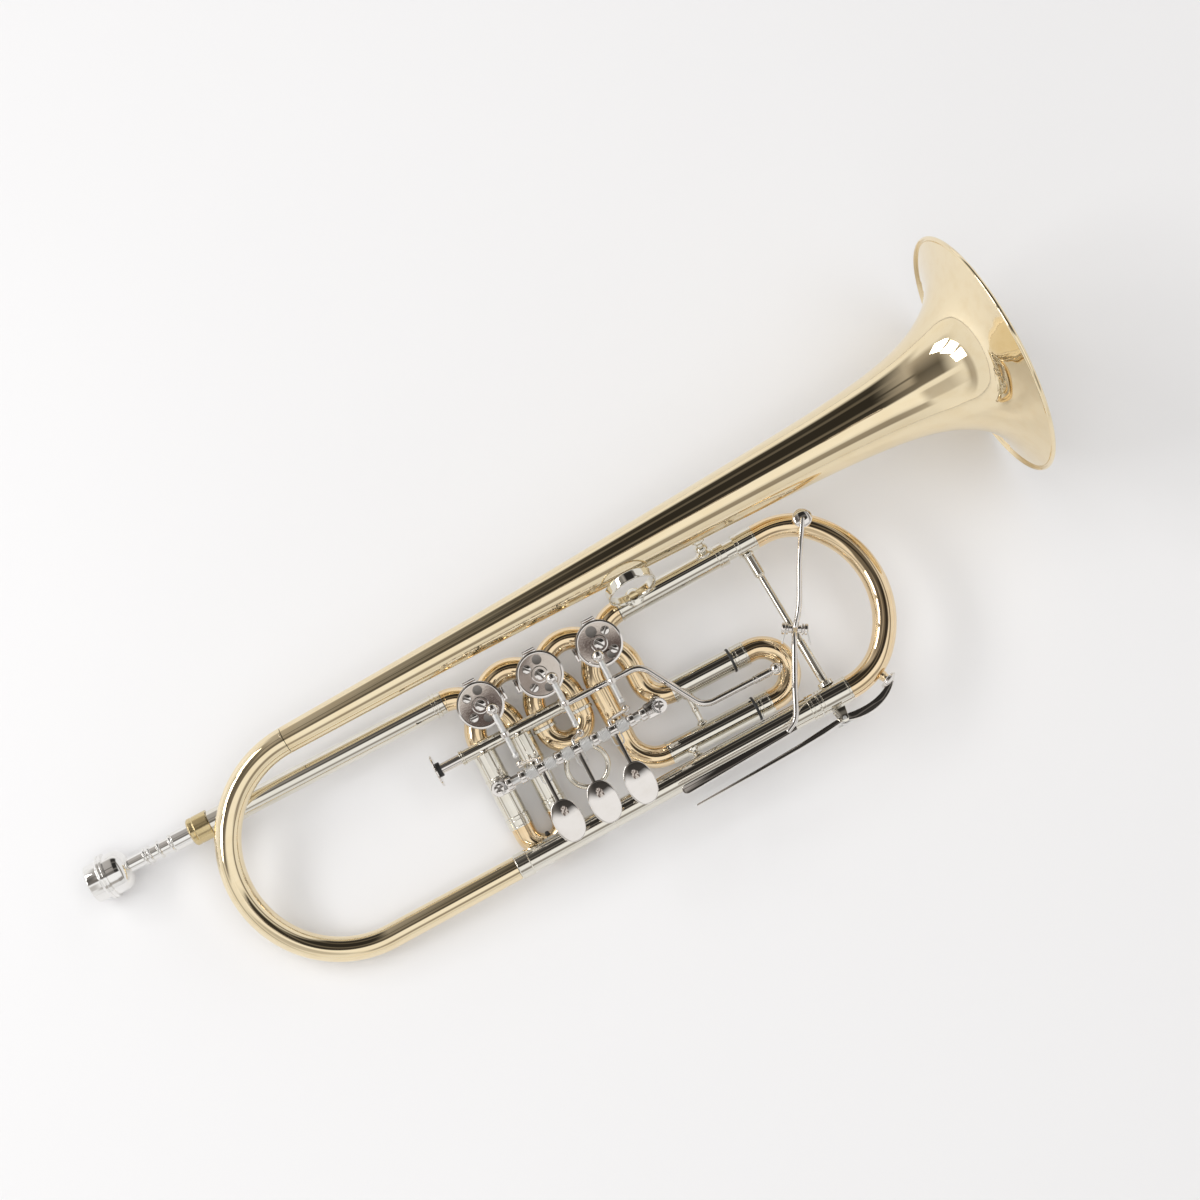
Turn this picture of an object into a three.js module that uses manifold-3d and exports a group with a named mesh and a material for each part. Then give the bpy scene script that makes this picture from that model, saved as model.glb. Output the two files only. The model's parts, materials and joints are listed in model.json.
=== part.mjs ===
// A rotary valve trumpet in B flat, built from its separate pieces.
// Units are millimetres. In the instrument's own frame X runs from the mouthpiece to the bell, Y from
// the finger levers' side to the bell's side, and Z out of the plane of the tubing towards the levers.
// The plane Z = 0 holds the centre lines of the leadpipe, the rotors and the valve slides.

import * as THREE from 'three';
import { mergeVertices, toCreasedNormals } from 'three/addons/utils/BufferGeometryUtils.js';
import Module from 'manifold-3d';

const wasm = await Module();
wasm.setup();

// Clearances

const gap = 0.3; // between neighbouring pieces, soldered or running
const overrun = 1; // how far a cutter runs past a face
const openPivotGap = 1; // between a rod's end and the lever ball that drives it

// Layout of the tubing

const valvePitch = 33.6;
const portOffset = 10.2; // from a rotor's axis to the line of the tubes that it feeds
const bellPlane = 13.5; // height of the bell, the big bow and the lower tube over the valve tubes
const bigBowRadius = 56.1;
const bigBowPlace = 178.6; // from the outlet elbow's end back to the middle of the big bow's turn
const lowerDrop = 79.4; // from the rotors' line to the lower tube's
const bellCant = THREE.MathUtils.degToRad(1); // of everything after the third rotor, seen along Z
const bellSplay = THREE.MathUtils.degToRad(0.45); // of the bell against the lower tube

// Tube sizes

const knuckleRadius = 5.8;
const tubeWall = 0.5;
const slideTubeRadius = 6.1;
const slideBoreRadius = slideTubeRadius - tubeWall;
const slideLegRadius = slideBoreRadius - gap;
const slideBowRadius = 5.9;
const ferruleRadius = 6.45;

const bell = {
  length: 400.7,
  rimRadius: 66,
  wall: 0.7,
  rimBead: 1.3,
  throatRadius: 7.15,
};
// The bell's outer side: share of its length back from the rim, share of the rim's radius.
const bellProfileShares = [
  [0.0025, 0.927], [0.0085, 0.812], [0.0185, 0.676], [0.032, 0.572], [0.05, 0.487], [0.077, 0.402],
  [0.112, 0.336], [0.162, 0.286], [0.242, 0.245], [0.35, 0.2165], [0.47, 0.189], [0.63, 0.154],
  [0.8, 0.1285], [1, 0.1083],
];

const lowerTube = {
  start: 106.8, // from the outlet elbow's end back to the start of the sleeve
  end: 64.8, // from the outlet elbow's end on to the open end
  radius: 6.2,
  tailRadius: 6.05,
  sleeveRadius: 6.7,
  sleeveLength: 7,
  jointPlace: 52.9, // from the outlet elbow's end back to the joint line
  jointWidth: 1,
  jointHeight: 0.2,
  collarLength: 4.5,
  collarRadius: 6.75,
};

const upperTube = {
  radius: 5.75,
  ringRadius: 6.15,
  ringWidth: 1.1,
  end: 61.8, // from the outlet elbow's end on to the open end
  collarLength: 5.1,
  collarRadius: 6.3,
};
const upperBoreRadius = upperTube.radius - tubeWall;
const upperLegRadius = upperBoreRadius - gap;

const leadpipe = {
  length: 144.6, // from the pipe's mouth in the receiver to the elbow
  radius: 6.05,
  sleeveRadius: 6.35,
  sleeveEnd: 30,
  mouthBore: 5.35,
  mouthDepth: 29,
  bore: 4.9,
  ringRadius: 6.5,
  ringWidth: 1.1,
  ringPitch: 1.7,
};

const receiver = { radius: 7.4, length: 11.2, chamfer: 0.8 };

const mouthpiece = {
  rimRadius: 10.2,
  rimLength: 8.2,
  ringRadius: 12.1,
  ringLength: 2.9,
  cupRadius: 11.4,
  cupLength: 11,
  neckRadius: 3.85,
  beadRadius: 4.9,
  beadHalf: 0.9,
  beadPlaces: [31.3, 34, 39.4, 46],
  shankStart: 47.5,
  shankRadius: 5.05,
  tipRadius: 4.6,
  insertion: 25,
  visible: 57.2,
  innerRimRadius: 8.4,
  rimBite: 1.4,
  cupDepth: 15,
  throatRadius: 2,
  throatLength: 6,
  cupShapeShare: 0.8,
  backboreRadius: 3.9,
};

const casing = {
  radius: 11.6,
  collarRadius: 12.1,
  collarHeight: 1.8,
  halfHeight: 11,
  boreRadius: 9.9,
  roof: 10.4,
  roofTop: 12.8,
  roofRadius: 10.8,
};
const spindleRadius = 2.3;
const rotorChannelRadius = 3.3;

const bottomCap = {
  depth: 5,
  radius: 12.2,
  edge: 0.7,
  floor: 2.6,
  lipWall: 2.3,
  recessRadius: 6.4,
  recessDepth: 0.7,
};

const stopPlate = {
  thickness: 1.1,
  radius: 12.2,
  lugWidth: 7,
  lugWall: 1.6,
  lugHeight: 4.6,
};

const disc = {
  radius: 11.95,
  thickness: 2.2,
  rimWidth: 1.3,
  rimHeight: 0.5,
  hubRadius: 4.5,
  hubHeight: 0.7,
  screwRadius: 2.7,
  screwHeight: 0.6,
  recessRadius: 3,
  recessDepth: 0.9,
  recessPlace: 7.9,
  recessLean: THREE.MathUtils.degToRad(-14),
};

// The linkage from the finger levers to the rotors

const rodPlane = 21; // height of the connecting rods over the valve tubes
const ballStudRadius = 1.5;
const ballRadius = 1.7;
const rod = {
  socketRadius: 3.25,
  socketBore: 2.1,
  socketHalf: 1.9,
  socketDome: 0.8,
  domeShare: 0.6, // of the socket's radius, at the dome's top
  sleeveRadius: 1.65,
  sleeveLength: 12.8,
  nutRadius: 2.3,
  nutLength: 2,
  shaftRadius: 1,
  collarRadius: 1.7,
  collarLength: 3,
};
const axle = { radius: 1.5, y: -40.8, z: 39, start: -39.2, end: 37.2 };
const leverDrop = 18; // from the axle down to the lever's ball
const leverReach = 5.6; // from the axle towards the rotors to the lever's ball
const leverStroke = THREE.MathUtils.degToRad(34);
const lever = {
  hubRadius: 2.9,
  hubHalf: 1.95,
  ballRadius: 2.9,
  armRadius: 1.3,
  stemWidth: 2,
  stemHeight: 2.1,
  paddleReach: 29,
  paddleLength: 22.2,
  paddleWidth: 14.8,
  paddleThickness: 1.5,
  paddleEdge: 0.35,
  paddleRise: 2.4,
};
const leverPlaces = [-20.6, -0.7, 19.4];
// Angle of each crank pin round its rotor at rest, and the way that the rotor turns.
const cranks = [
  { angle: THREE.MathUtils.degToRad(-47), turn: 1 },
  { angle: THREE.MathUtils.degToRad(-47), turn: 1 },
  { angle: THREE.MathUtils.degToRad(-123), turn: -1 },
];
const rotorStroke = Math.PI / 2;

const spring = {
  wireRadius: 0.4,
  coilRadius: 3.05,
  curls: 4,
  pitch: 1.26,
  start: 0.6, // from the hub's face to the first curl
  footLength: 1.6,
  hookReach: 8,
};

const rail = {
  start: -47.6,
  end: 49,
  width: 5,
  bossRadius: 4,
  thickness: 1.6,
  postWidth: 3.2,
  postDepth: 6.4,
  postPlaces: [-30.7, -10.7, 9.2, 29.4],
  blockPlaces: [-38, 35.8],
  blockWidth: 3,
  legRadius: 2.6,
  footRadius: 4.2,
  footHeight: 2,
  coneTop: 2.6,
  coneFoot: 5,
};

// The valve slides

const legRing = { height: 0.3, width: 1.1 };
const firstSlide = { tubeEnd: 58, ringPlace: 36.2, ferrule: 6.2, bowCentre: 68.9, legTop: 24 };
const secondSlide = {
  tubeEnd: 24.4,
  ferrule: 1.6,
  bowCentre: 27,
  legTop: 17.6,
  bowRadius: 5.6,
  pullRadius: 10.75,
  pullWire: 1.25,
  pullDrop: 15.3,
  pullHeight: 4,
};
const thirdSlide = {
  tubeEnd: 91,
  lowerBend: 16.8,
  lowerLine: 66.4,
  upperBend: 11.7,
  upperLine: 38.8,
  ferrule: 7,
  bowStart: 100.7,
  legStart: 66,
};

const trigger = {
  y: -19.4,
  guideStart: -55,
  guideEnd: 3.5,
  guideRadius: 3.5,
  guideWall: 0.45,
  collarRadius: 4,
  collarLength: 2,
  plungerRadius: 2.75,
  plungerEnd: -44,
  rodRadius: 1.75,
  discPlace: -69.2,
  discRadius: 8.6,
  discThickness: 1.2,
  bumperRadius: 3.8,
  bumperLength: 2,
  bendStart: 41.4,
  bendRadius: 9.6,
  bendAngle: THREE.MathUtils.degToRad(60),
  sleeveStart: 94.4,
  sleeveEnd: 103.5,
  sleeveRadius: 2.1,
  ballPlace: 107,
  ballRadius: 3.2,
  studRadius: 1.6,
  studReach: 5,
};

const brace = { place: 62, radius: 1.5, footRadius: 3, footLength: 1.6 };

const fingerRing = {
  place: 10.3, // from the outlet elbow's end on to the ring's middle
  radius: 13.2,
  band: 1.3,
  width: 5.4,
  tilt: THREE.MathUtils.degToRad(67),
  saddleRadius: 5.2,
  saddleHeight: 2,
};

const bellStay = { place: 51.8, radius: 2.1, footRadius: 4.1, footHeight: 2.2 };
const lowerStay = { place: 0.8, radius: 1.6, footRadius: 3.4, footHeight: 1.6 };

// The tuning slide, with its two keys

const tuning = {
  upperFerruleStart: 67.4,
  upperFerruleEnd: 78.6,
  lowerFerruleStart: 65.8,
  lowerFerruleEnd: 82.9,
  bendStart: 83.4,
  bendRadius: 38,
  bowRadius: 6.15,
  upperFerruleRadius: 6.4,
  lowerFerruleRadius: 6.75,
  legStart: 14,
};
const tuningBrace = {
  place: 71.6,
  slant: 2.3,
  upperRadius: 2.8,
  upperEnd: 19.4,
  middleRadius: 1.8,
  lowerStart: 58,
  lowerRadius: 2.4,
  footRadius: 4.2,
  footHeight: 1.8,
};
const ventKey = {
  pivotX: 73.3,
  pivotDrop: 51.8,
  pivotRise: 4.6,
  lean: THREE.MathUtils.degToRad(-31.2), // of the pivot's axis
  hubRadius: 2.1,
  hubHalf: 3.2,
  pinRadius: 1,
  postRadius: 2.3,
  postLength: 3,
  rodRadius: 1.35,
  cupX: 103.6,
  cupDrop: 4.6,
  cupRadius: 5,
  cupHeight: 3,
  nippleRadius: 2.8,
  nippleTop: 8.2,
  touchStart: 51,
  touchEnd: -15.8,
  touchDrop: 96.4,
  touchRise: 12.6,
  touchWidth: 5,
  touchThickness: 1.6,
  cupBendShare: 0.45, // of the way from the hub to the cup
  touchBendShares: [0.62, 0.82, 0.96], // of the drop to the touch
  touchRiseShare: 0.8, // of the touch's rise, at the first bend
};
const waterKey = {
  pivotX: 73.1,
  pivotDrop: 103,
  hubRadius: 1.8,
  hubLow: -3.8,
  hubHigh: 4,
  armRise: 2.4,
  pinRadius: 1,
  armRadius: 1.25,
  cupTurn: THREE.MathUtils.degToRad(-67),
  nippleRadius: 2.6,
  nippleHeight: 2.2,
  cupRadius: 5,
  cupHeight: 3,
  bladeWidth: 6,
  bladeThickness: 1.2,
  bladeEnd: -12.7,
  bladeDrop: 106.4,
  saddleWidth: 7,
  earThickness: 1.3,
  armBendShares: [0.35, 0.75], // of the way from the hub to the cup
  armSinkShares: [2, 1.6], // of the hub's radius
  bladeBendShare: 0.3, // of the blade's reach
  bladeDropShare: 0.6, // of the blade's drop, at its bend
};
const keyCupSideShare = 0.6; // of a key cup's height, up to its dome
const keySpring = { wireRadius: 0.4, coilRadius: 2.6, curls: 3, pitch: 1.24, footLength: 4 };

// How finely round pieces are faceted

const bellSides = 28;
const beadSides = 8;
const tubeSides = 12;
const kneeSides = 10;
const turnedSides = 14;
const discSides = 18;
const rodSides = 7;
const thinSides = 6;
const wireSides = 5;
const wireSteps = 8;
const quarterSteps = 3;

// Finishes

const metal = (colour, roughness) => (
  new THREE.MeshStandardMaterial({ color: colour, roughness, metalness: 1 })
);
const goldBrass = metal(0xdec48e, 0.2);
const roseBrass = metal(0xd6a060, 0.22);
const nickelSilver = metal(0xd6d0be, 0.22);
const polishedNickel = metal(0xdcdcd8, 0.12);
const springSteel = metal(0xb4b4ae, 0.4);
const silverPlate = metal(0xe2e0d8, 0.14);
const agedBrass = metal(0xbe9b50, 0.3);

// Helpers

const X = new THREE.Vector3(1, 0, 0);
const Y = new THREE.Vector3(0, 1, 0);
const Z = new THREE.Vector3(0, 0, 1);
const point = (x, y, z = 0) => new THREE.Vector3(x, y, z);

// Welds a geometry into one closed skin with its faces pointing out.
function closed(geometry) {
  geometry.deleteAttribute('normal');
  if (geometry.getAttribute('uv')) geometry.deleteAttribute('uv');
  const welded = mergeVertices(geometry);
  const { array } = welded.index;
  const corner = (index) => new THREE.Vector3().fromBufferAttribute(welded.getAttribute('position'), index);
  const kept = [];
  let volume = 0;
  for (let face = 0; face < array.length; face += 3) {
    const [a, b, c] = array.slice(face, face + 3);
    if (a !== b && b !== c && c !== a) {
      kept.push([a, b, c]);
      volume += corner(a).dot(corner(b).cross(corner(c)));
    }
  }
  const faces = volume < 0 ? kept.map(([a, b, c]) => [a, c, b]) : kept;
  welded.setIndex(faces.flat());
  return welded;
}

function solidOf(geometry) {
  const skin = closed(geometry);
  return new wasm.Manifold(new wasm.Mesh({
    numProp: 3,
    vertProperties: Float32Array.from(skin.getAttribute('position').array),
    triVerts: Uint32Array.from(skin.index.array),
  }));
}

function geometryOf(solid) {
  const mesh = solid.getMesh();
  const geometry = new THREE.BufferGeometry();
  geometry.setAttribute('position', new THREE.BufferAttribute(Float32Array.from(mesh.vertProperties), 3));
  geometry.setIndex(Array.from(mesh.triVerts));
  return geometry;
}

// Joins geometries into one, and then cuts others out of it.
function shaped(joined, cutters = []) {
  let solid = solidOf(joined[0]);
  for (const piece of joined.slice(1)) solid = solid.add(solidOf(piece));
  for (const cutter of cutters) solid = solid.subtract(solidOf(cutter));
  return geometryOf(solid);
}

// A turned piece round the Z axis. The outline is [radius, height] pairs.
function turned(outline, sides) {
  const profile = outline.map(([radius, height]) => new THREE.Vector2(radius, height));
  return new THREE.LatheGeometry(profile, sides).rotateX(Math.PI / 2);
}

// The same piece with its axis turned to point along a direction, and its foot set on a place.
function turnedAlong(outline, sides, place, direction) {
  const way = new THREE.Quaternion().setFromUnitVectors(Z, direction.clone().normalize());
  return turned(outline, sides).applyQuaternion(way).translate(place.x, place.y, place.z);
}

function rodBetween(from, to, radius, sides) {
  const run = to.clone().sub(from);
  const outline = [[0, 0], [radius, 0], [radius, run.length()], [0, run.length()]];
  return turnedAlong(outline, sides, from, run);
}

// A tube's centre line in one plane: straight runs and bends, one after the other.
class Route {
  constructor(start, direction, normal = Z) {
    this.normal = normal.clone();
    this.stations = [{ at: start.clone(), way: direction.clone().normalize(), run: 0 }];
  }

  get last() {
    return this.stations[this.stations.length - 1];
  }

  straight(length) {
    const { at, way, run } = this.last;
    this.stations.push({ at: at.clone().addScaledVector(way, length), way: way.clone(), run: run + length });
    return this;
  }

  bend(radius, angle, steps) {
    const { at, way, run } = this.last;
    const inward = this.normal.clone().cross(way).multiplyScalar(Math.sign(angle));
    const centre = at.clone().addScaledVector(inward, radius);
    for (let step = 1; step <= steps; step += 1) {
      const turn = angle * step / steps;
      this.stations.push({
        at: at.clone().sub(centre).applyAxisAngle(this.normal, turn).add(centre),
        way: way.clone().applyAxisAngle(this.normal, turn),
        run: run + radius * Math.abs(turn),
      });
    }
    return this;
  }

  // The place and direction at a length along the route.
  frameAt(run) {
    const later = this.stations.findIndex((station) => station.run >= run);
    const end = this.stations[later < 1 ? (later < 0 ? this.stations.length - 1 : 1) : later];
    const start = this.stations[this.stations.indexOf(end) - 1];
    const share = (run - start.run) / (end.run - start.run);
    return {
      at: start.at.clone().lerp(end.at, share),
      way: start.way.clone().lerp(end.way, share).normalize(),
    };
  }

  // The route's own stations that lie between two lengths.
  between(from, to) {
    return this.stations.map((station) => station.run).filter((run) => run > from && run < to);
  }
}

// A tube that is turned straight and then bent along a route. The outline is [run, radius] pairs.
function bent(route, outline, sides) {
  const points = [];
  outline.forEach(([run, radius], index) => {
    if (index > 0) {
      const [lastRun, lastRadius] = outline[index - 1];
      const inner = route.between(Math.min(run, lastRun), Math.max(run, lastRun));
      if (run < lastRun) inner.reverse();
      for (const station of inner) {
        const share = (station - lastRun) / (run - lastRun);
        points.push(new THREE.Vector2(lastRadius + (radius - lastRadius) * share, station));
      }
    }
    points.push(new THREE.Vector2(radius, run));
  });
  const geometry = new THREE.LatheGeometry(points, sides);
  const position = geometry.getAttribute('position');
  for (let index = 0; index < position.count; index += 1) {
    const { at, way } = route.frameAt(position.getY(index));
    const side = way.clone().cross(route.normal);
    at.addScaledVector(side, position.getX(index)).addScaledVector(route.normal, position.getZ(index));
    position.setXYZ(index, at.x, at.y, at.z);
  }
  return geometry;
}

// A plain tube or rod along a route, closed at both ends.
function plainBent(route, radius, sides) {
  const { run } = route.last;
  return bent(route, [[0, 0], [0, radius], [run, radius], [run, 0]], sides);
}

// A curve that visits given points at equal steps, for wire and rods that turn in space.
class Visits extends THREE.Curve {
  constructor(points) {
    super();
    this.points = points;
  }

  getPointAt(share) {
    return this.points[Math.round(share * (this.points.length - 1))].clone();
  }

  getTangentAt(share) {
    const index = Math.round(share * (this.points.length - 1));
    const before = this.points[Math.max(index - 1, 0)];
    const after = this.points[Math.min(index + 1, this.points.length - 1)];
    return after.clone().sub(before).normalize();
  }
}

function circleShape(radius, sides) {
  const corners = [];
  for (let side = 0; side < sides; side += 1) {
    const angle = 2 * Math.PI * side / sides;
    corners.push(new THREE.Vector2(radius * Math.cos(angle), radius * Math.sin(angle)));
  }
  return new THREE.Shape(corners);
}

function wireThrough(points, radius, sides) {
  return new THREE.ExtrudeGeometry(circleShape(radius, sides), {
    steps: points.length - 1,
    extrudePath: new Visits(points),
  });
}

// A rod through a few places, with its bends rounded.
function curvedRod(places, radius, steps) {
  const curve = new THREE.CatmullRomCurve3(places, false, 'centripetal');
  return wireThrough(curve.getSpacedPoints(steps), radius, rodSides);
}

function box(width, depth, height, centre) {
  return new THREE.BoxGeometry(width, depth, height).translate(centre.x, centre.y, centre.z);
}

const creaseAngle = THREE.MathUtils.degToRad(38);

function addPiece(parent, name, geometry, material) {
  const piece = new THREE.Mesh(toCreasedNormals(closed(geometry), creaseAngle), material);
  piece.name = name;
  parent.add(piece);
  return piece;
}

// The least distance between a wire's turns, from its centre line.
function leastWireGap(points, radius) {
  let least = Infinity;
  const runs = [0];
  for (let index = 1; index < points.length; index += 1) {
    runs.push(runs[index - 1] + points[index].distanceTo(points[index - 1]));
  }
  const turnLength = Math.PI * 2 * radius * 3;
  for (let one = 0; one < points.length; one += 1) {
    for (let other = one + 1; other < points.length; other += 1) {
      if (runs[other] - runs[one] > turnLength) {
        least = Math.min(least, points[one].distanceTo(points[other]));
      }
    }
  }
  return least - 2 * radius;
}

// Groups: the whole instrument, and the part of it that is canted

const instrument = new THREE.Group();
const canted = new THREE.Group();
const elbowReach = valvePitch / 2;
const outletEnd = valvePitch + elbowReach;
canted.position.set(outletEnd, portOffset, 0);
canted.rotation.z = bellCant;
instrument.add(canted);

const valveX = [-valvePitch, 0, valvePitch];

// The arc from a rotor's diagonal port to the square line of a tube.
const kneeRadius = (elbowReach - portOffset) / (Math.SQRT2 - 1);
const kneeStart = portOffset - kneeRadius * (1 - Math.SQRT1_2);
const casingCutter = (x) => turned([
  [0, -casing.halfHeight - overrun],
  [casing.radius + gap, -casing.halfHeight - overrun],
  [casing.radius + gap, casing.halfHeight + overrun],
  [0, casing.halfHeight + overrun],
], turnedSides).translate(x, 0, 0);

// The bell

function bellGeometry() {
  const skin = bellProfileShares.map(([backShare, radiusShare]) => (
    new THREE.Vector2(radiusShare * bell.rimRadius, bell.length * (1 - backShare))
  ));
  skin[skin.length - 1].x = bell.throatRadius;
  const outside = [];
  const inside = [];
  skin.forEach((place, index) => {
    const ahead = skin[Math.max(index - 1, 0)];
    const behind = skin[Math.min(index + 1, skin.length - 1)];
    const along = ahead.clone().sub(behind).normalize();
    outside.push(place);
    inside.push(new THREE.Vector2(place.x - bell.wall * along.y, place.y + bell.wall * along.x));
  });
  inside[inside.length - 1].y = skin[skin.length - 1].y;
  // One facet of the rolled rim faces straight ahead: the bell stands on it.
  const bead = [];
  const facetAngle = 2 * Math.PI / beadSides;
  for (let facet = 0; facet <= beadSides / 2; facet += 1) {
    const angle = facetAngle * (facet - 1.5);
    bead.push(new THREE.Vector2(
      bell.rimRadius - bell.rimBead + bell.rimBead * Math.cos(angle),
      bell.length + bell.rimBead * Math.sin(angle),
    ));
  }
  const loop = [...outside.reverse(), ...bead, ...inside];
  const profile = [...loop, loop[0]];
  return new THREE.LatheGeometry(profile, bellSides).rotateZ(-Math.PI / 2);
}

const lowerLine = -(portOffset + lowerDrop);
const bellAxis = new THREE.Group();
bellAxis.position.set(-bigBowPlace, lowerLine + 2 * bigBowRadius, bellPlane);
bellAxis.rotation.z = bellSplay;
canted.add(bellAxis);
addPiece(bellAxis, 'bell', bellGeometry(), goldBrass);

// The big bow and its tail, which carry the bore on from the lower tube to the bell

const bowTop = point(-bigBowPlace, lowerLine + 2 * bigBowRadius, bellPlane);
const bowWay = point(-Math.cos(bellSplay), -Math.sin(bellSplay));
const bowRoute = new Route(bowTop.clone().addScaledVector(bowWay, gap), bowWay)
  .bend(bigBowRadius, Math.PI - bellSplay, 4 * quarterSteps)
  .straight(bigBowPlace - lowerTube.start);
const bowTail = bowRoute.last.run;
addPiece(canted, 'bell_bow', bent(bowRoute, [
  [0, 0], [0, bell.throatRadius], [bowTail, lowerTube.tailRadius], [bowTail, 0],
], tubeSides), goldBrass);

// The lower tube, which the tuning slide's long leg enters

const lowerLength = lowerTube.start + lowerTube.end - gap;
const lowerJoint = lowerTube.start - lowerTube.jointPlace;
const lowerCentre = point(gap - lowerTube.start, lowerLine, bellPlane);
const lowerSkin = turnedAlong([
  [slideBoreRadius, 0],
  [lowerTube.sleeveRadius, 0],
  [lowerTube.sleeveRadius, lowerTube.sleeveLength],
  [lowerTube.radius, lowerTube.sleeveLength],
  [lowerTube.radius, lowerJoint],
  [lowerTube.radius + lowerTube.jointHeight, lowerJoint],
  [lowerTube.radius + lowerTube.jointHeight, lowerJoint + lowerTube.jointWidth],
  [lowerTube.radius, lowerJoint + lowerTube.jointWidth],
  [lowerTube.radius, lowerLength - lowerTube.collarLength],
  [lowerTube.collarRadius, lowerLength - lowerTube.collarLength],
  [lowerTube.collarRadius, lowerLength],
  [slideBoreRadius, lowerLength],
  [slideBoreRadius, 0],
], tubeSides, lowerCentre, X);
addPiece(canted, 'lower_slide_tube', lowerSkin, nickelSilver);

// The upper tube, from the third rotor's elbow to the tuning slide

const upperLength = upperTube.end - gap;
addPiece(canted, 'upper_slide_tube', turnedAlong([
  [upperBoreRadius, 0],
  [upperTube.ringRadius, 0],
  [upperTube.ringRadius, upperTube.ringWidth],
  [upperTube.radius, upperTube.ringWidth],
  [upperTube.radius, upperLength - upperTube.collarLength],
  [upperTube.collarRadius, upperLength - upperTube.collarLength],
  [upperTube.collarRadius, upperLength],
  [upperBoreRadius, upperLength],
  [upperBoreRadius, 0],
], tubeSides, point(gap, 0), X), nickelSilver);

// The leadpipe and the receiver round its mouth

const leadEnd = valveX[0] - elbowReach;
const leadStart = leadEnd - leadpipe.length;
const leadRing = leadpipe.length - 2 * leadpipe.ringWidth - leadpipe.ringPitch;
addPiece(instrument, 'leadpipe', turnedAlong([
  [leadpipe.mouthBore, 0],
  [leadpipe.radius, 0],
  [leadpipe.radius, receiver.length],
  [leadpipe.sleeveRadius, receiver.length + gap],
  [leadpipe.sleeveRadius, leadpipe.sleeveEnd],
  [leadpipe.radius, leadpipe.sleeveEnd],
  [leadpipe.radius, leadRing],
  [leadpipe.ringRadius, leadRing],
  [leadpipe.ringRadius, leadRing + leadpipe.ringWidth],
  [leadpipe.radius, leadRing + leadpipe.ringWidth],
  [leadpipe.radius, leadpipe.length],
  [leadpipe.bore, leadpipe.length],
  [leadpipe.bore, leadpipe.mouthDepth],
  [leadpipe.mouthBore, leadpipe.mouthDepth],
  [leadpipe.mouthBore, 0],
], tubeSides, point(leadStart, portOffset), X), nickelSilver);
addPiece(instrument, 'mouthpiece_receiver', turnedAlong([
  [leadpipe.radius + gap, 0],
  [receiver.radius - receiver.chamfer, 0],
  [receiver.radius, receiver.chamfer],
  [receiver.radius, receiver.length],
  [leadpipe.radius + gap, receiver.length],
  [leadpipe.radius + gap, 0],
], tubeSides, point(leadStart, portOffset), X), agedBrass);

// The mouthpiece, turned round its own axis from the rim to the shank's tip

function mouthpieceOutline() {
  const cupEnd = mouthpiece.rimLength + mouthpiece.ringLength + mouthpiece.cupLength;
  const ringEnd = mouthpiece.rimLength + mouthpiece.ringLength;
  const length = mouthpiece.visible + mouthpiece.insertion;
  const throat = mouthpiece.cupDepth;
  const outline = [
    [mouthpiece.innerRimRadius, mouthpiece.rimBite],
    [(mouthpiece.innerRimRadius + mouthpiece.rimRadius) / 2, 0],
    [mouthpiece.rimRadius, mouthpiece.rimBite],
    [mouthpiece.rimRadius, mouthpiece.rimLength],
    [mouthpiece.ringRadius, mouthpiece.rimLength],
    [mouthpiece.ringRadius, ringEnd],
    [mouthpiece.cupRadius, ringEnd],
  ];
  for (let step = 1; step <= quarterSteps; step += 1) {
    const angle = Math.PI / 2 * step / quarterSteps;
    outline.push([
      mouthpiece.neckRadius + (mouthpiece.cupRadius - mouthpiece.neckRadius) * Math.cos(angle),
      ringEnd + (cupEnd - ringEnd) * Math.sin(angle),
    ]);
  }
  for (const place of mouthpiece.beadPlaces) {
    outline.push([mouthpiece.neckRadius, place - mouthpiece.beadHalf]);
    outline.push([mouthpiece.beadRadius, place]);
    outline.push([mouthpiece.neckRadius, place + mouthpiece.beadHalf]);
  }
  outline.push(
    [mouthpiece.neckRadius, mouthpiece.shankStart],
    [mouthpiece.shankRadius, mouthpiece.shankStart],
    [mouthpiece.tipRadius, length],
    [mouthpiece.backboreRadius, length],
    [mouthpiece.throatRadius, throat + mouthpiece.throatLength],
    [mouthpiece.throatRadius, throat],
    [mouthpiece.innerRimRadius * mouthpiece.cupShapeShare, throat - mouthpiece.innerRimRadius / 2],
    [mouthpiece.innerRimRadius, mouthpiece.rimBite],
  );
  return outline;
}
const mouthpieceMesh = addPiece(instrument, 'mouthpiece', turnedAlong(
  mouthpieceOutline(),
  turnedSides,
  point(0, 0),
  X,
), silverPlate);
mouthpieceMesh.position.set(leadStart - mouthpiece.visible, portOffset, 0);

// The elbows into the first rotor and out of the third, and the arches between the rotors

function elbow(fromX, toX) {
  const way = Math.sign(toX - fromX);
  const route = new Route(point(fromX, portOffset), point(way, 0))
    .bend(kneeRadius, -way * Math.PI / 4, quarterSteps - 1)
    .straight(kneeStart * Math.SQRT1_2);
  return shaped([plainBent(route, knuckleRadius, kneeSides)], [casingCutter(toX)]);
}

function arch(fromX, toX) {
  const route = new Route(point(fromX + kneeStart, kneeStart), point(1, 1))
    .bend(kneeRadius, -Math.PI / 2, 2 * quarterSteps - 2);
  return shaped([plainBent(route, knuckleRadius, kneeSides)], [casingCutter(fromX), casingCutter(toX)]);
}

addPiece(instrument, 'inlet_elbow', elbow(leadEnd + gap, valveX[0]), roseBrass);
addPiece(instrument, 'arch_1', arch(valveX[0], valveX[1]), roseBrass);
addPiece(instrument, 'arch_2', arch(valveX[1], valveX[2]), roseBrass);
addPiece(instrument, 'outlet_elbow', elbow(outletEnd, valveX[2]), roseBrass);

// The valve tubes: each leaves its rotor at a diagonal port, turns square and takes one slide leg

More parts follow.
